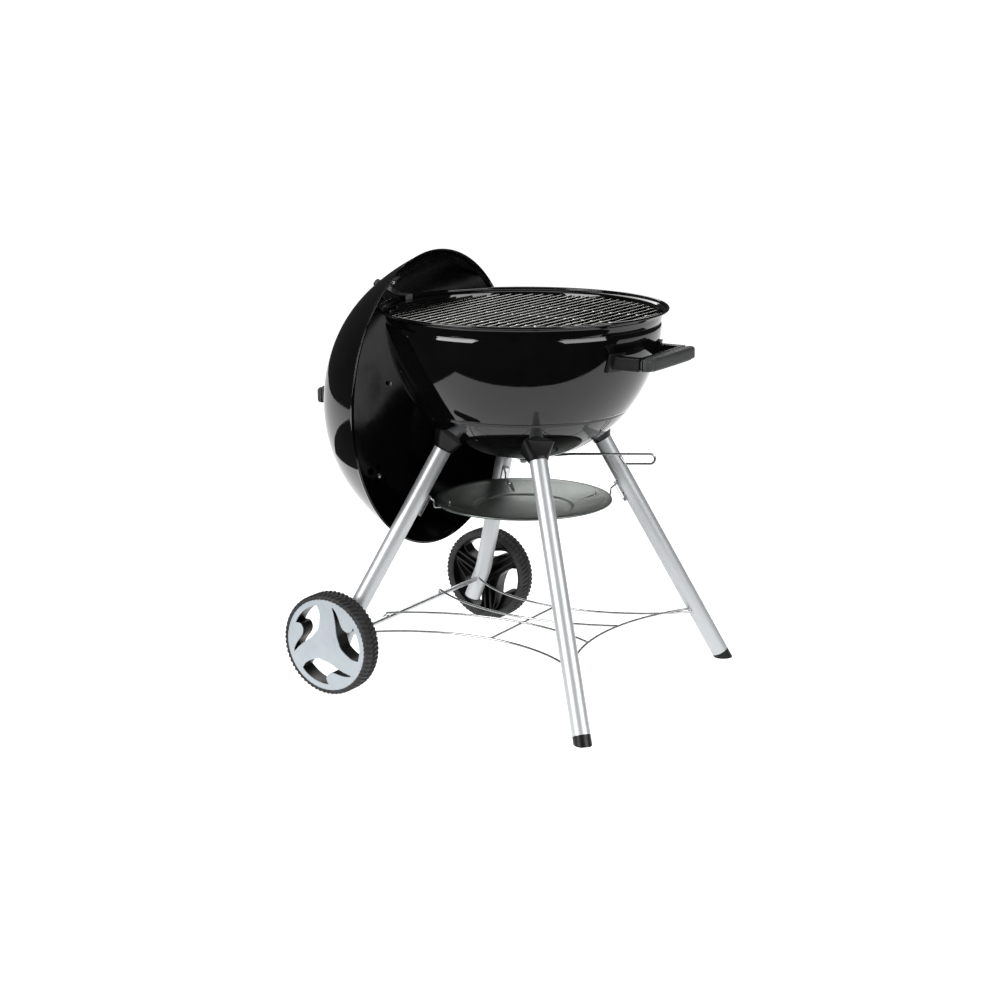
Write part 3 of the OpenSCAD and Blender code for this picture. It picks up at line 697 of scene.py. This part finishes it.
def vent_cutters(side, r=7.0):
    out = []
    for a in (45, 135, 225, 315):
        x, y = 19 * math.cos(math.radians(a)), 19 * math.sin(math.radians(a))
        c = prism("vent", circle_points(x, y, r, 40), -10, 10, lambda p: vent_matrix(side) @ p)
        out.append(c)
    return out


cut(lid, *vent_cutters(1), *vent_cutters(-1))
with_normals_of(lid, whole)
bpy.data.objects.remove(whole)
inside = []
for face in lid.data.polygons:
    x, y, z = (face.center - at((0, 0, 0))) * 1000
    inside.append(1 if z < dome_z(min(math.hypot(x, y), DOME_R)) - 0.7 * WALL and z > 14 else 0)
move_to(lid, LID_MATRIX)
piece(lid, "lid", "black_enamel", "lid")
lid.data.materials.append(M["enamel_inside"])
lid.data.polygons.foreach_set("material_index", inside)

# ---------------------------------------------------------------- legs
def leg_point(sx, sy, z):
    return Vector((sx * (LEG_TOP[0] + LEG_DX * (LEG_TOP[2] - z)),
                   sy * (LEG_TOP[1] + LEG_DY * (LEG_TOP[2] - z)), z))


for sy, side in ((-1, "left"), (1, "right")):
    top, foot = leg_point(1, sy, LEG_TOP[2]), leg_point(1, sy, CAP_Z)
    leg = tube(f"foot_leg_{side}", [top.lerp(foot, t / 12) for t in range(13)], LEG_R, 72, LEG_R - LEG_WALL)
    piece(leg, "stand", "satin_aluminium", f"leg_foot_{side}")
    top, bend = leg_point(-1, sy, LEG_TOP[2]), leg_point(-1, sy, BEND_Z)
    end = Vector((bend.x - LEG_DX * (BEND_Z - LEG_END_Z), bend.y, LEG_END_Z))
    path = rounded([top, bend, end], 90, 12)
    path = [top.lerp(path[1], t / 10) for t in range(10)] + path[1:]
    leg = tube(f"wheel_leg_{side}", path, LEG_R, 72, LEG_R - LEG_WALL)
    piece(leg, "stand", "satin_aluminium", f"leg_wheel_{side}")

# ---------------------------------------------------------------- ash pan
pan_top = [(0, PAN_Z - 20), (WELL_R - 8, PAN_Z - 20), (WELL_R - 3.4, PAN_Z - 19),
           (WELL_R - 0.6, PAN_Z - 16.6),
           (WELL_R + 2.4, PAN_Z - 15.6), (WELL_R + 6, PAN_Z - 15.1), (PAN_R - 22, PAN_Z - 4.5),
           (PAN_R - 17, PAN_Z - 2.6), (PAN_R - 12, PAN_Z - 0.9), (PAN_R - 8, PAN_Z - 0.2),
           (PAN_R - 2.4, PAN_Z),
           (PAN_R - 0.7, PAN_Z - 0.6), (PAN_R, PAN_Z - 2.0), (PAN_R, PAN_Z - 4)]
pan_under = [(PAN_R - 1.2, PAN_Z - 4), (PAN_R - 1.3, PAN_Z - 2), (PAN_R - 2.6, PAN_Z - 1.2),
             (PAN_R - 12, PAN_Z - 2.1),
             (PAN_R - 22, PAN_Z - 5.7), (WELL_R + 6, PAN_Z - 16.3), (WELL_R + 1, PAN_Z - 17.1),
             (WELL_R - 3.4, PAN_Z - 20.4), (WELL_R - 8, PAN_Z - 21.2), (0, PAN_Z - 21.2)]
pan = revolve("round_ash_pan", pan_top + pan_under, 192, sharp=0)
PAN_AZ = math.degrees(math.atan2(LEG_TOP[1] + LEG_DY * 96, LEG_TOP[0] + LEG_DX * 96))
HOOK_AZ = (PAN_AZ, -PAN_AZ, 180 + PAN_AZ, 180 - PAN_AZ)
cut(pan, *[prism("hole",
                 circle_points(152 * math.cos(math.radians(a)), 152 * math.sin(math.radians(a)), 4, 24),
                 PAN_Z - 30, PAN_Z + 10) for a in HOOK_AZ])
piece(pan, "ash_pan", "galvanised_sheet", "ash_pan")

# ---------------------------------------------------------------- handles
def loft(name, rings, cap=True, smooth=True):
    """Joins rings of equal length, each a list of points in mm, and closes both ends."""
    n = len(rings[0])
    verts = [p for ring in rings for p in ring]
    faces = [(i * n + k, i * n + (k + 1) % n, (i + 1) * n + (k + 1) % n, (i + 1) * n + k)
             for i in range(len(rings) - 1) for k in range(n)]
    if cap:
        faces += [tuple(range(n))[::-1], tuple(range((len(rings) - 1) * n, len(rings) * n))]
    uvs = [(k / n, i / len(rings)) for i in range(len(rings)) for k in range(n)]
    obj = mesh_object(name, verts, faces, smooth, uvs)
    tidy_normals(obj)
    return obj


def on_bowl_handle(depth, y, h):
    """A point of the bowl's handle: depth in from its outer face, y along it, h up from its middle."""
    return Vector((HANDLE_OUT - depth, y, HANDLE_Z + h))


def on_lid_handle(depth, y, h):
    return on_lid((h * 34 / 26, y, LID_GRIP_Z - depth))


def grip(name, place):
    """The grip: a bowed bar with a raised middle and lower, rounded ends with a dimple."""
    rings = []
    half = HANDLE_L / 2
    steps = [-1, -0.995, -0.98, -0.955, -0.92, -0.86, -0.82, -0.80, -0.785, -0.77, -0.74, -0.68, -0.58,
             -0.45, -0.3, -0.15, 0]
    steps = steps + [-t for t in steps[-2::-1]]
    for t in steps:
        a = abs(t)
        end = max(0.0, (a - 0.90) / 0.10)
        side = math.sqrt(max(0.0, 1 - end ** 2))        # the plan's rounded ends
        low = 0.0 if a < 0.77 else min(1.0, (a - 0.77) / 0.03)
        bow = 1.6 * (1 - (a / 0.8) ** 2) if a < 0.8 else 0.0
        front = 1.7 - bow + 1.2 * low + 12 * (1 - side)
        back = GRIP_T - 0.4 - 1.0 * low - 3 * (1 - side)
        top = 12.9 - 1.6 * low - 1.4 * (1 - side) + (0.1 if a < 0.7 else 0)
        low_z = -12.9 + 1.6 * low + 1.4 * (1 - side)
        mid_d, mid_h = (front + back) / 2, (top + low_z) / 2
        r = 6.5 - 2.0 * low
        ring = []
        for d, h in rounded_rect(back - front, top - low_z, r, 6, mid_d, mid_h):
            ring.append(place(d, t * half, h))
        rings.append(ring)
    obj = loft(name, rings)
    return obj


def dimple_ring(name, place, side):
    """The round screw plug let into the top of the grip's end."""
    c = (13.0, side * (HANDLE_L / 2 - 11.5))
    rings = []
    for r, h in ((0.2, 10.7), (4.6, 10.7), (5.4, 11.0), (5.8, 11.6), (6.4, 12.0), (7.0, 11.9), (7.5, 11.2)):
        rings.append([place(c[0] + r * math.cos(k * math.pi / 16), c[1] + r * math.sin(k * math.pi / 16), h)
                      for k in range(32)])
    return loft(name, rings)


def handle_frame(name, place, solid, foot_h):
    """Two arms with foot plates and the bar behind the grip, cut to the shell's curve."""
    half, reach = HANDLE_L / 2 - 1, 96.0
    outline = [(GRIP_T + 0.2, -half), (GRIP_T + 0.2, half), (reach, half), (reach, half - ARM_W + 1)]
    outline += [(GRIP_T + 6 + 8 - 8 * math.cos(a), half - ARM_W + 1 - 8 + 8 * math.sin(a))
                for a in [math.pi / 2 * (1 - k / 6) for k in range(7)]]
    outline += [(d, -y) for d, y in outline[:2:-1]] + [(reach, -half)]
    body = prism(name, outline, -12, 12, lambda p: place(p.x, p.y, p.z))
    plates = [prism("plate",
                    [(d, s * ARM_Y + y) for d, y in ((36, -17), (reach, -17), (reach, 17), (36, 17))],
                    -foot_h, foot_h, lambda p: place(p.x, p.y, p.z)) for s in (-1, 1)]
    shell = solid(6.0)
    for plate in plates:
        mod = plate.modifiers.new("near", "BOOLEAN")
        mod.object, mod.operation, mod.solver = shell, "INTERSECT", "EXACT"
        apply_modifiers(plate)
    bpy.data.objects.remove(shell)
    for part in (body, *plates):
        cut(part, solid(0.3))
        soften(part, 1.5, 3, 40)
    return join(name, [body, *plates])


def bowl_solid(grow):
    return revolve("bowl_solid", closed([(0, BODY_Z)] + body_line(grow, 60)), 160, sharp=0)


def dome_solid(grow):
    obj = revolve("dome_solid",
                  closed([(0, 0)] + dome_line(DOME_R + grow, grow, 50)[:-1] + [(0, LID_H + grow)]), 160,
                  sharp=0)
    move_to(obj, LID_MATRIX)
    return obj


for body_name, place, solid, node_name, foot_h in (
        ("stand", on_bowl_handle, bowl_solid, "bowl_handle", 18),
                                                   ("lid", on_lid_handle, dome_solid, "lid_handle", 14)):
    piece(handle_frame(f"{node_name}_frame", place, solid, foot_h), body_name, "black_plastic", node_name)
    bar = join(f"{node_name}_bar",
               [grip("bar", place), dimple_ring("d", place, -1), dimple_ring("d", place, 1)])
    piece(bar, body_name, "dark_plastic", f"{node_name}_grip")

# ---------------------------------------------------------------- leg sockets and caps
def leg_frame(sx, sy, z):
    """Matrix at a leg's axis: +Z up the leg, +X square to it on the outward side."""
    up = (leg_point(sx, sy, LEG_TOP[2] + 10) - leg_point(sx, sy, LEG_TOP[2])).normalized()
    out = Vector((sx * LEG_DX, sy * LEG_DY, 0))
    out = (out - up * out.dot(up)).normalized()
    side = up.cross(out)
    m = Matrix((out, side, up)).transposed().to_4x4()
    m.translation = leg_point(sx, sy, z)
    return m


def socket(name, sx, sy):
    m = leg_frame(sx, sy, LEG_TOP[2])
    rings = []
    for z, w, h, r, shift in ((-40, 31.8, 31.8, 15.85, 0), (0.3, 31.8, 31.8, 15.85, 0),
                              (0.35, 38.0, 38.0, 16, 0),
                              (3.5, 38.6, 38.6, 14, 0), (6, 40, 39.6, 11, 0.4), (22, 54, 50, 8, 2.0),
                              (46, 74, 64, 8, 4.0)):
        rings.append([m @ Vector((x, y, z)) for x, y in rounded_rect(h, w, r, 6, shift, 0)])
    obj = loft(name, rings)
    cut(obj, bowl_solid(0.3), prism("bolt", circle_points(0, 0, 3.05, 24), -45, 60, lambda p: m @ p))
    soften(obj, 0.9, 2, 28)
    return obj


for sx, end in ((1, "foot"), (-1, "wheel")):
    for sy, side in ((-1, "left"), (1, "right")):
        piece(socket(f"socket_{end}_{side}", sx, sy), "stand", "black_plastic", f"leg_socket_{end}_{side}")

for sy, side in ((-1, "left"), (1, "right")):
    m = leg_frame(1, sy, CAP_Z)
    rings = []
    for z, r in ((-24, 17.3), (-2.4, 17.3), (-0.9, 17.4), (-0.2, 17.0), (-0.15, 15.9), (22, 15.9), (23, 15)):
        rings.append([m @ Vector((r * math.cos(2 * math.pi * k / 64), r * math.sin(2 * math.pi * k / 64),
                                  z)) for k in range(64)])
    cap = loft("cap", rings)
    x, y = leg_point(1, sy, 0).xy
    cut(cap, prism("ground", [(x - 60, y - 60), (x + 60, y - 60), (x + 60, y + 60), (x - 60, y + 60)], -60,
                   0))
    soften(cap, 0.8, 2, 35)
    cap.name = f"capped_foot_{side}"
    piece(cap, "stand", "black_plastic", f"foot_cap_{side}")

# ---------------------------------------------------------------- wheels
def wheel_matrix(sy):
    """A wheel's own frame: its axis along +Z, its outer face upwards."""
    turn = Matrix.Rotation(math.radians(90 if sy < 0 else -90), 4, "X")
    return Matrix.Translation((-AXLE_X, sy * TRACK_Y, WHEEL_R)) @ turn


def ring_mesh(name, profile, m, segments=192, sharp=0):
    obj = revolve(name, closed(profile), segments, sharp=sharp)
    move_to(obj, m)
    return obj


def lug(z0, z1, a0, skew, share):
    """One tread bar as a little loft: its section at both ends of its arc length."""
    half = WHEEL_W / 2
    sgn = 1 if z1 > 0 else -1
    rows = []
    for u, (zz, top) in enumerate(((z0, 99.6), (z0 + sgn * 1.0, 101.0), (z0 + sgn * 8, 101.0),
                                   (z1 - sgn * 4, 100.7),
                                   (z1 - sgn * 1.2, 99.0), (z1, 96.0), (z1, 92.9))):
        base = min(top - 0.9, 97.6) if abs(zz) < half - 1 else top - 1.4
        t = (abs(zz) - abs(z0)) / (abs(z1) - abs(z0))
        mid = a0 + skew * t
        rows.append([(base, zz, mid - share), (top, zz, mid - share * 0.82), (top, zz, mid + share * 0.82),
                     (base, zz, mid + share)])
    return rows


def tyre(name, m, flip):
    half = WHEEL_W / 2
    body = [(86, -half + 3), (89, -half + 1.2), (92.4, -half + 0.5), (96.4, -half + 0.9),
            (98.0, -half + 2.4), (98.5, -half + 5),
            (98.6, -2.4), (98.0, -1.4), (98.0, 1.4), (98.6, 2.4), (98.5, half - 5), (98.0, half - 2.4),
            (96.4, half - 0.9),
            (94.6, half - 0.4), (92.9, half - 0.7), (92.6, half - 3), (86, half - 4.5)]
    base = ring_mesh("tyre_body", body, m, 126, 40)
    verts, faces = [], []
    count = 63
    for k in range(count):
        for z0, z1, shift in ((1.6, half - 0.1, 0.0), (-1.6, -half + 0.1, 0.5)):
            a0 = 2 * math.pi * (k + shift) / count
            rows = lug(z0, z1, a0, flip * 0.052, 0.029)
            start = len(verts)
            for row in rows:
                for r, z, a in row:
                    verts.append(m @ Vector((r * math.cos(a), r * math.sin(a), z)))
            for i in range(len(rows) - 1):
                for j in range(3):
                    p = start + i * 4 + j
                    faces.append((p, p + 1, p + 5, p + 4))
            faces.append((start, start + 1, start + 2, start + 3))
            e = start + (len(rows) - 1) * 4
            faces.append((e + 3, e + 2, e + 1, e))
    lugs = mesh_object("lugs", verts, faces, smooth=False)
    tidy_normals(lugs)
    return join(name, [base, lugs])


WINDOW = [(80, 78), (80, 75.3), (75.5, 70.3), (70, 64.5), (64, 58), (59.5, 52), (57, 44), (59, 36),
          (65, 31), (72, 30.5), (80, 34), (80.5, 24), (80.5, 14), (80.5, 4), (80.5, -6), (80, -16),
          (66, -18), (52, -15), (40, -8), (35, 0), (33, 12), (33, 26), (36, 42), (45, 56), (56, 65), (68, 72)]
CORNERS = {0, 1, 10, 15}


def window(turn, grow=0.0, steps=4):
    """The smooth outline of one opening of a cover, turned and grown outwards."""
    pts = [Vector((r * math.cos(math.radians(a)), r * math.sin(math.radians(a)))) for r, a in WINDOW]
    n = len(pts)
    out = []
    for i in range(n):
        p0, p1, p2, p3 = pts[i - 1], pts[i], pts[(i + 1) % n], pts[(i + 2) % n]
        if i in CORNERS:
            p0 = p1 - (p2 - p1)
        if (i + 1) % n in CORNERS:
            p3 = p2 + (p2 - p1)
        for k in range(steps):
            t = k / steps
            out.append(0.5 * (2 * p1 + (p2 - p0) * t + (2 * p0 - 5 * p1 + 4 * p2 - p3) * t * t
                              + (3 * p1 - p0 - 3 * p2 + p3) * t * t * t))
    grown = []
    for i, p in enumerate(out):
        d = out[i - 1] - out[(i + 1) % len(out)]
        q = p - Vector((-d.y, d.x)).normalized() * grow
        c, s = math.cos(math.radians(turn)), math.sin(math.radians(turn))
        grown.append((q.x * c - q.y * s, q.x * s + q.y * c))
    return grown


def cover(name, m):
    half = WHEEL_W / 2

    def face(p):
        r = math.hypot(p.x, p.y)
        return m @ Vector((p.x, p.y, p.z - 0.9 * (r / COVER_R) ** 2 if p.z > half - 2 else p.z))

    plate = prism("plate", circle_points(0, 0, COVER_R - 0.2, 160), half - 4, half - 0.05, face,
                  holes=[window(a) for a in (0, 120, 240)])
    soften(plate, 1.1, 3, 40)
    walls = []
    for a in (0, 120, 240):
        inner, outer = window(a, 0.0), window(a, 2.0)
        n = len(inner)
        rings = [[m @ Vector((x, y, z)) for x, y in ring] for ring, z in
                 ((inner, half - 1.6), (inner, -12), (outer, -12), (outer, half - 2.5))]
        wall = loft("wall", rings, cap=False)
        wall.data.set_sharp_from_angle(angle=math.radians(35))
        walls.append(wall)
    boss = ring_mesh("boss",
                     [(0, half - 1.5), (24, half - 1.5), (24, half - 0.35), (22.5, half - 0.05), (0, half)],
                     m, 96, 30)
    return join(name, [plate, boss, *walls])


for sy, side in ((-1, "left"), (1, "right")):
    m = wheel_matrix(sy)
    piece(tyre(f"tread_tyre_{side}", m, 1), f"wheel_{side}", "tyre_rubber", f"tyre_{side}")
    cap = cover(f"hub_cap_{side}", m)
    # painted shade: the cover is grey all through, but every face behind its front face is made as black as
    # the core, to stand for the shade inside the wheel seen from the inner side
    to_wheel = m.inverted()
    inward = [f.index for f in cap.data.polygons
              if (to_wheel @ ((f.center - at((0, 0, 0))) * 1000)).z < WHEEL_W / 2 - PAINTED_SHADE_DEPTH]
    piece(cap, f"wheel_{side}", "grey_plastic", f"wheel_cover_{side}")
    # the black moulding as a second material: painted shade on the grey cover's hidden faces
    cap.data.materials.append(M["black_plastic"])
    for index in inward:
        cap.data.polygons[index].material_index = 1

# ---------------------------------------------------------------- wires
def wire(name, path, r, bend=0.0, sides=16, ball=True):
    pts = rounded(path, bend, 8) if bend else path
    return tube(name, pts, r, sides, ball=ball)


LEVEL_B = WHEEL_R + AXLE_R + WIRE_R + 2.3
LEVEL_A = LEVEL_B - 2 * WIRE_R - 0.1
SIDE_BOW, INNER_BOW, FRONT_BOW = 128.0, 15.0, 180.0
SIDE_R = (262 ** 2 + (244 - SIDE_BOW) ** 2) / (2 * (244 - SIDE_BOW))
INNER_R = (255 * 255 + 85 * 85) / (2 * 85)
FRONT_R = (240 * 240 + 70 * 70) / (2 * 70)


def flat_arc(cx, cy, z, radius, a, b, n=60):
    return [Vector((cx + radius * math.cos(math.radians(a + (b - a) * i / n)),
                    cy + radius * math.sin(math.radians(a + (b - a) * i / n)), z)) for i in range(n + 1)]


def deg_asin(x):
    return math.degrees(math.asin(x))


for s, side in ((-1, "left"), (1, "right")):
    a, b = deg_asin(258 / SIDE_R), deg_asin(249.5 / SIDE_R)
    mid = 270 if s > 0 else 90
    path = flat_arc(0, s * (SIDE_BOW + SIDE_R), LEVEL_A, SIDE_R, mid - s * b, mid + s * a)
    piece(wire(f"side_rod_{side}", path, WIRE_R), "stand", "chromed_wire", f"shelf_side_wire_{side}")
    a, b = deg_asin((FRONT_BOW + 0.7 + 13) / INNER_R), deg_asin((AXLE_X - 13) / INNER_R)
    path = flat_arc(-13, s * (INNER_BOW + INNER_R), LEVEL_B, INNER_R, mid - s * b, mid + s * a)
    start, tangent = path[0], (path[0] - path[1]).normalized()
    hook_r = LEVEL_B - WHEEL_R
    hook = [start + tangent * hook_r * math.sin(math.radians(t))
            - Vector((0, 0, hook_r * (1 - math.cos(math.radians(t)))))
            for t in range(110, 0, -10)]
    piece(wire(f"inner_rod_{side}", hook + path, WIRE_R), "stand", "chromed_wire", f"shelf_inner_wire_{side}")

a = deg_asin(241 / FRONT_R)
piece(wire("front_rod", flat_arc(FRONT_BOW + FRONT_R, 0, LEVEL_B, FRONT_R, 180 - a, 180 + a), WIRE_R),
      "stand", "chromed_wire", "shelf_front_wire")
reach = SIDE_BOW - WIRE_R - 0.1
piece(wire("cross_rod", [Vector((0, -reach + 2 * reach * i / 30, LEVEL_A)) for i in range(31)], WIRE_R,
           ball=False),
      "stand", "chromed_wire", "shelf_cross_wire")


def pan_point(a, r, z):
    return Vector((r * math.cos(math.radians(a)), r * math.sin(math.radians(a)), z))


hooks = [wire("hook",
              [pan_point(a, 194.5, PAN_Z + 14), pan_point(a, 184, PAN_Z + 6), pan_point(a, 184, PAN_Z - 7.5),
                       pan_point(a, 152, PAN_Z - 8.6), pan_point(a, 152, PAN_Z + 1)], 1.75, bend=4.0)
         for a in HOOK_AZ]
piece(join("pan_hooks", hooks), "stand", "chromed_wire", "ash_pan_hooks")


def lever_point(r, z):
    return Vector((r * math.cos(math.radians(LEVER_AZ)), r * math.sin(math.radians(LEVER_AZ)), BOTTOM_Z + z))


path = rounded([lever_point(12, -4.5), lever_point(95, 1.9), lever_point(LEVER_L - 1, 2),
                lever_point(LEVER_L - 1, -18),
                lever_point(LEVER_L - 60, -18), lever_point(LEVER_L - 70, -4)], [0, 60, 9.5, 9.5, 8, 0], 10)
rod_piece = tube("lever_rod", path, 2.5, 20, ball=True)
hub = revolve("lever_hub",
              closed([(4.06, BOTTOM_Z - 8), (13, BOTTOM_Z - 8), (14, BOTTOM_Z - 7), (14, BOTTOM_Z - 2),
                                   (13, BOTTOM_Z - 1), (4.06, BOTTOM_Z - 1)]), 64, sharp=40)
piece(join("sweeper_lever", [hub, rod_piece]), "ash_lever", "chromed_wire", "ash_lever")

# ---------------------------------------------------------------- stage, light and camera
CAMERA_AZ, CAMERA_EL = math.radians(30.79), math.radians(12.33)
floor_mesh = bpy.data.meshes.new("floor")
# its near edge is 0.8 m in front of the grill, so that the bowl's upper half reflects the dim room
ahead = Vector((math.sin(CAMERA_AZ), -math.cos(CAMERA_AZ), 0))
across = Vector((math.cos(CAMERA_AZ), math.sin(CAMERA_AZ), 0))
edge = [(0.6, -1.0), (0.68, -0.75), (0.74, -0.5), (0.785, -0.25), (0.8, 0), (0.785, 0.25), (0.74, 0.5),
        (0.69, 0.75),
        (0.6, 1.1), (0.5, 1.5), (0.5, 4), (-6, 4), (-6, -4), (-1.2, -4), (-1.2, -1.0)]
floor_mesh.from_pydata([at((0, 0, 0)) + ahead * u + across * v for u, v in edge], [],
                       [tuple(range(len(edge)))])
floor = bpy.data.objects.new("floor", floor_mesh)
bpy.context.scene.collection.objects.link(floor)
floor_mat = material("pale_floor", (0.5, 0.5, 0.5), 0.7, Specular_IOR_Level=0.1, Emission_Strength=1.0)
floor_mat.node_tree.nodes["Principled BSDF"].inputs["Emission Color"].default_value = (1, 1, 1, 1)
fn = Nodes(floor_mat)
fn.color(fn.ramp(fn.noise(fn.coords(), 3, 4), [(0.3, (0.49, 0.49, 0.49)), (0.7, (0.51, 0.51, 0.51))]))
floor_mesh.materials.append(floor_mat)

bpy.context.scene.view_settings.view_transform = "Standard"

# White behind the object, and a dim room in what it reflects
world = bpy.data.worlds.new("studio")
bpy.context.scene.world = world
world.use_nodes = True
wt = world.node_tree
room = wt.nodes["Background"]
room.inputs["Color"].default_value = (1, 1, 1, 1)
room.inputs["Strength"].default_value = 0.04
white = wt.nodes.new("ShaderNodeBackground")
white.inputs["Color"].default_value = (1, 1, 1, 1)
white.inputs["Strength"].default_value = 1.1
path_node = wt.nodes.new("ShaderNodeLightPath")
mix_node = wt.nodes.new("ShaderNodeMixShader")
wt.links.new(path_node.outputs["Is Camera Ray"], mix_node.inputs["Fac"])
wt.links.new(room.outputs["Background"], mix_node.inputs[1])
wt.links.new(white.outputs["Background"], mix_node.inputs[2])
wt.links.new(mix_node.outputs["Shader"], wt.nodes["World Output"].inputs["Surface"])


def area_light(name, place, target, size, power, size_y=None, color=(1, 1, 1)):
    data = bpy.data.lights.new(name, "AREA")
    data.energy = power
    data.color = color
    data.shape = "RECTANGLE"
    data.size = size
    data.size_y = size_y or size
    obj = bpy.data.objects.new(name, data)
    obj.location = place
    obj.rotation_mode = "QUATERNION"
    obj.rotation_quaternion = (Vector(target) - Vector(place)).to_track_quat("-Z", "Y")
    bpy.context.scene.collection.objects.link(obj)
    return obj


def around(azimuth, elevation, distance):
    a, e = math.radians(azimuth), math.radians(elevation)
    return Vector((distance * math.cos(e) * math.cos(a), distance * math.cos(e) * math.sin(a),
                   0.6 + distance * math.sin(e)))


area_light("left_softbox", around(-115, 20, 3.2), (0, 0, 0.6), 1.9, 120, 1.7)
area_light("right_softbox", around(-9, 20, 3.2), (0, 0, 0.6), 2.1, 80, 1.7)
area_light("top_softbox", around(-60, 78, 2.6), (0, 0, 0.5), 2.2, 28, 1.6)
area_light("back_softbox", around(120, 35, 3.0), (0, 0, 0.5), 2.2, 40, 1.4)

camera_data = bpy.data.cameras.new("camera")
camera = bpy.data.objects.new("camera", camera_data)
bpy.context.scene.collection.objects.link(camera)
camera_data.sensor_width = 36
camera_data.lens = 71.37
camera_data.shift_x = -0.0237
camera_data.shift_y = -0.0439
camera.location = at((1970.9, -3306.9, 1291.6))
look = Vector((-math.sin(CAMERA_AZ) * math.cos(CAMERA_EL), math.cos(CAMERA_AZ) * math.cos(CAMERA_EL),
               -math.sin(CAMERA_EL)))
camera.rotation_mode = "QUATERNION"
camera.rotation_quaternion = look.to_track_quat("-Z", "Y")
camera_data.clip_end = 100
bpy.context.scene.camera = camera
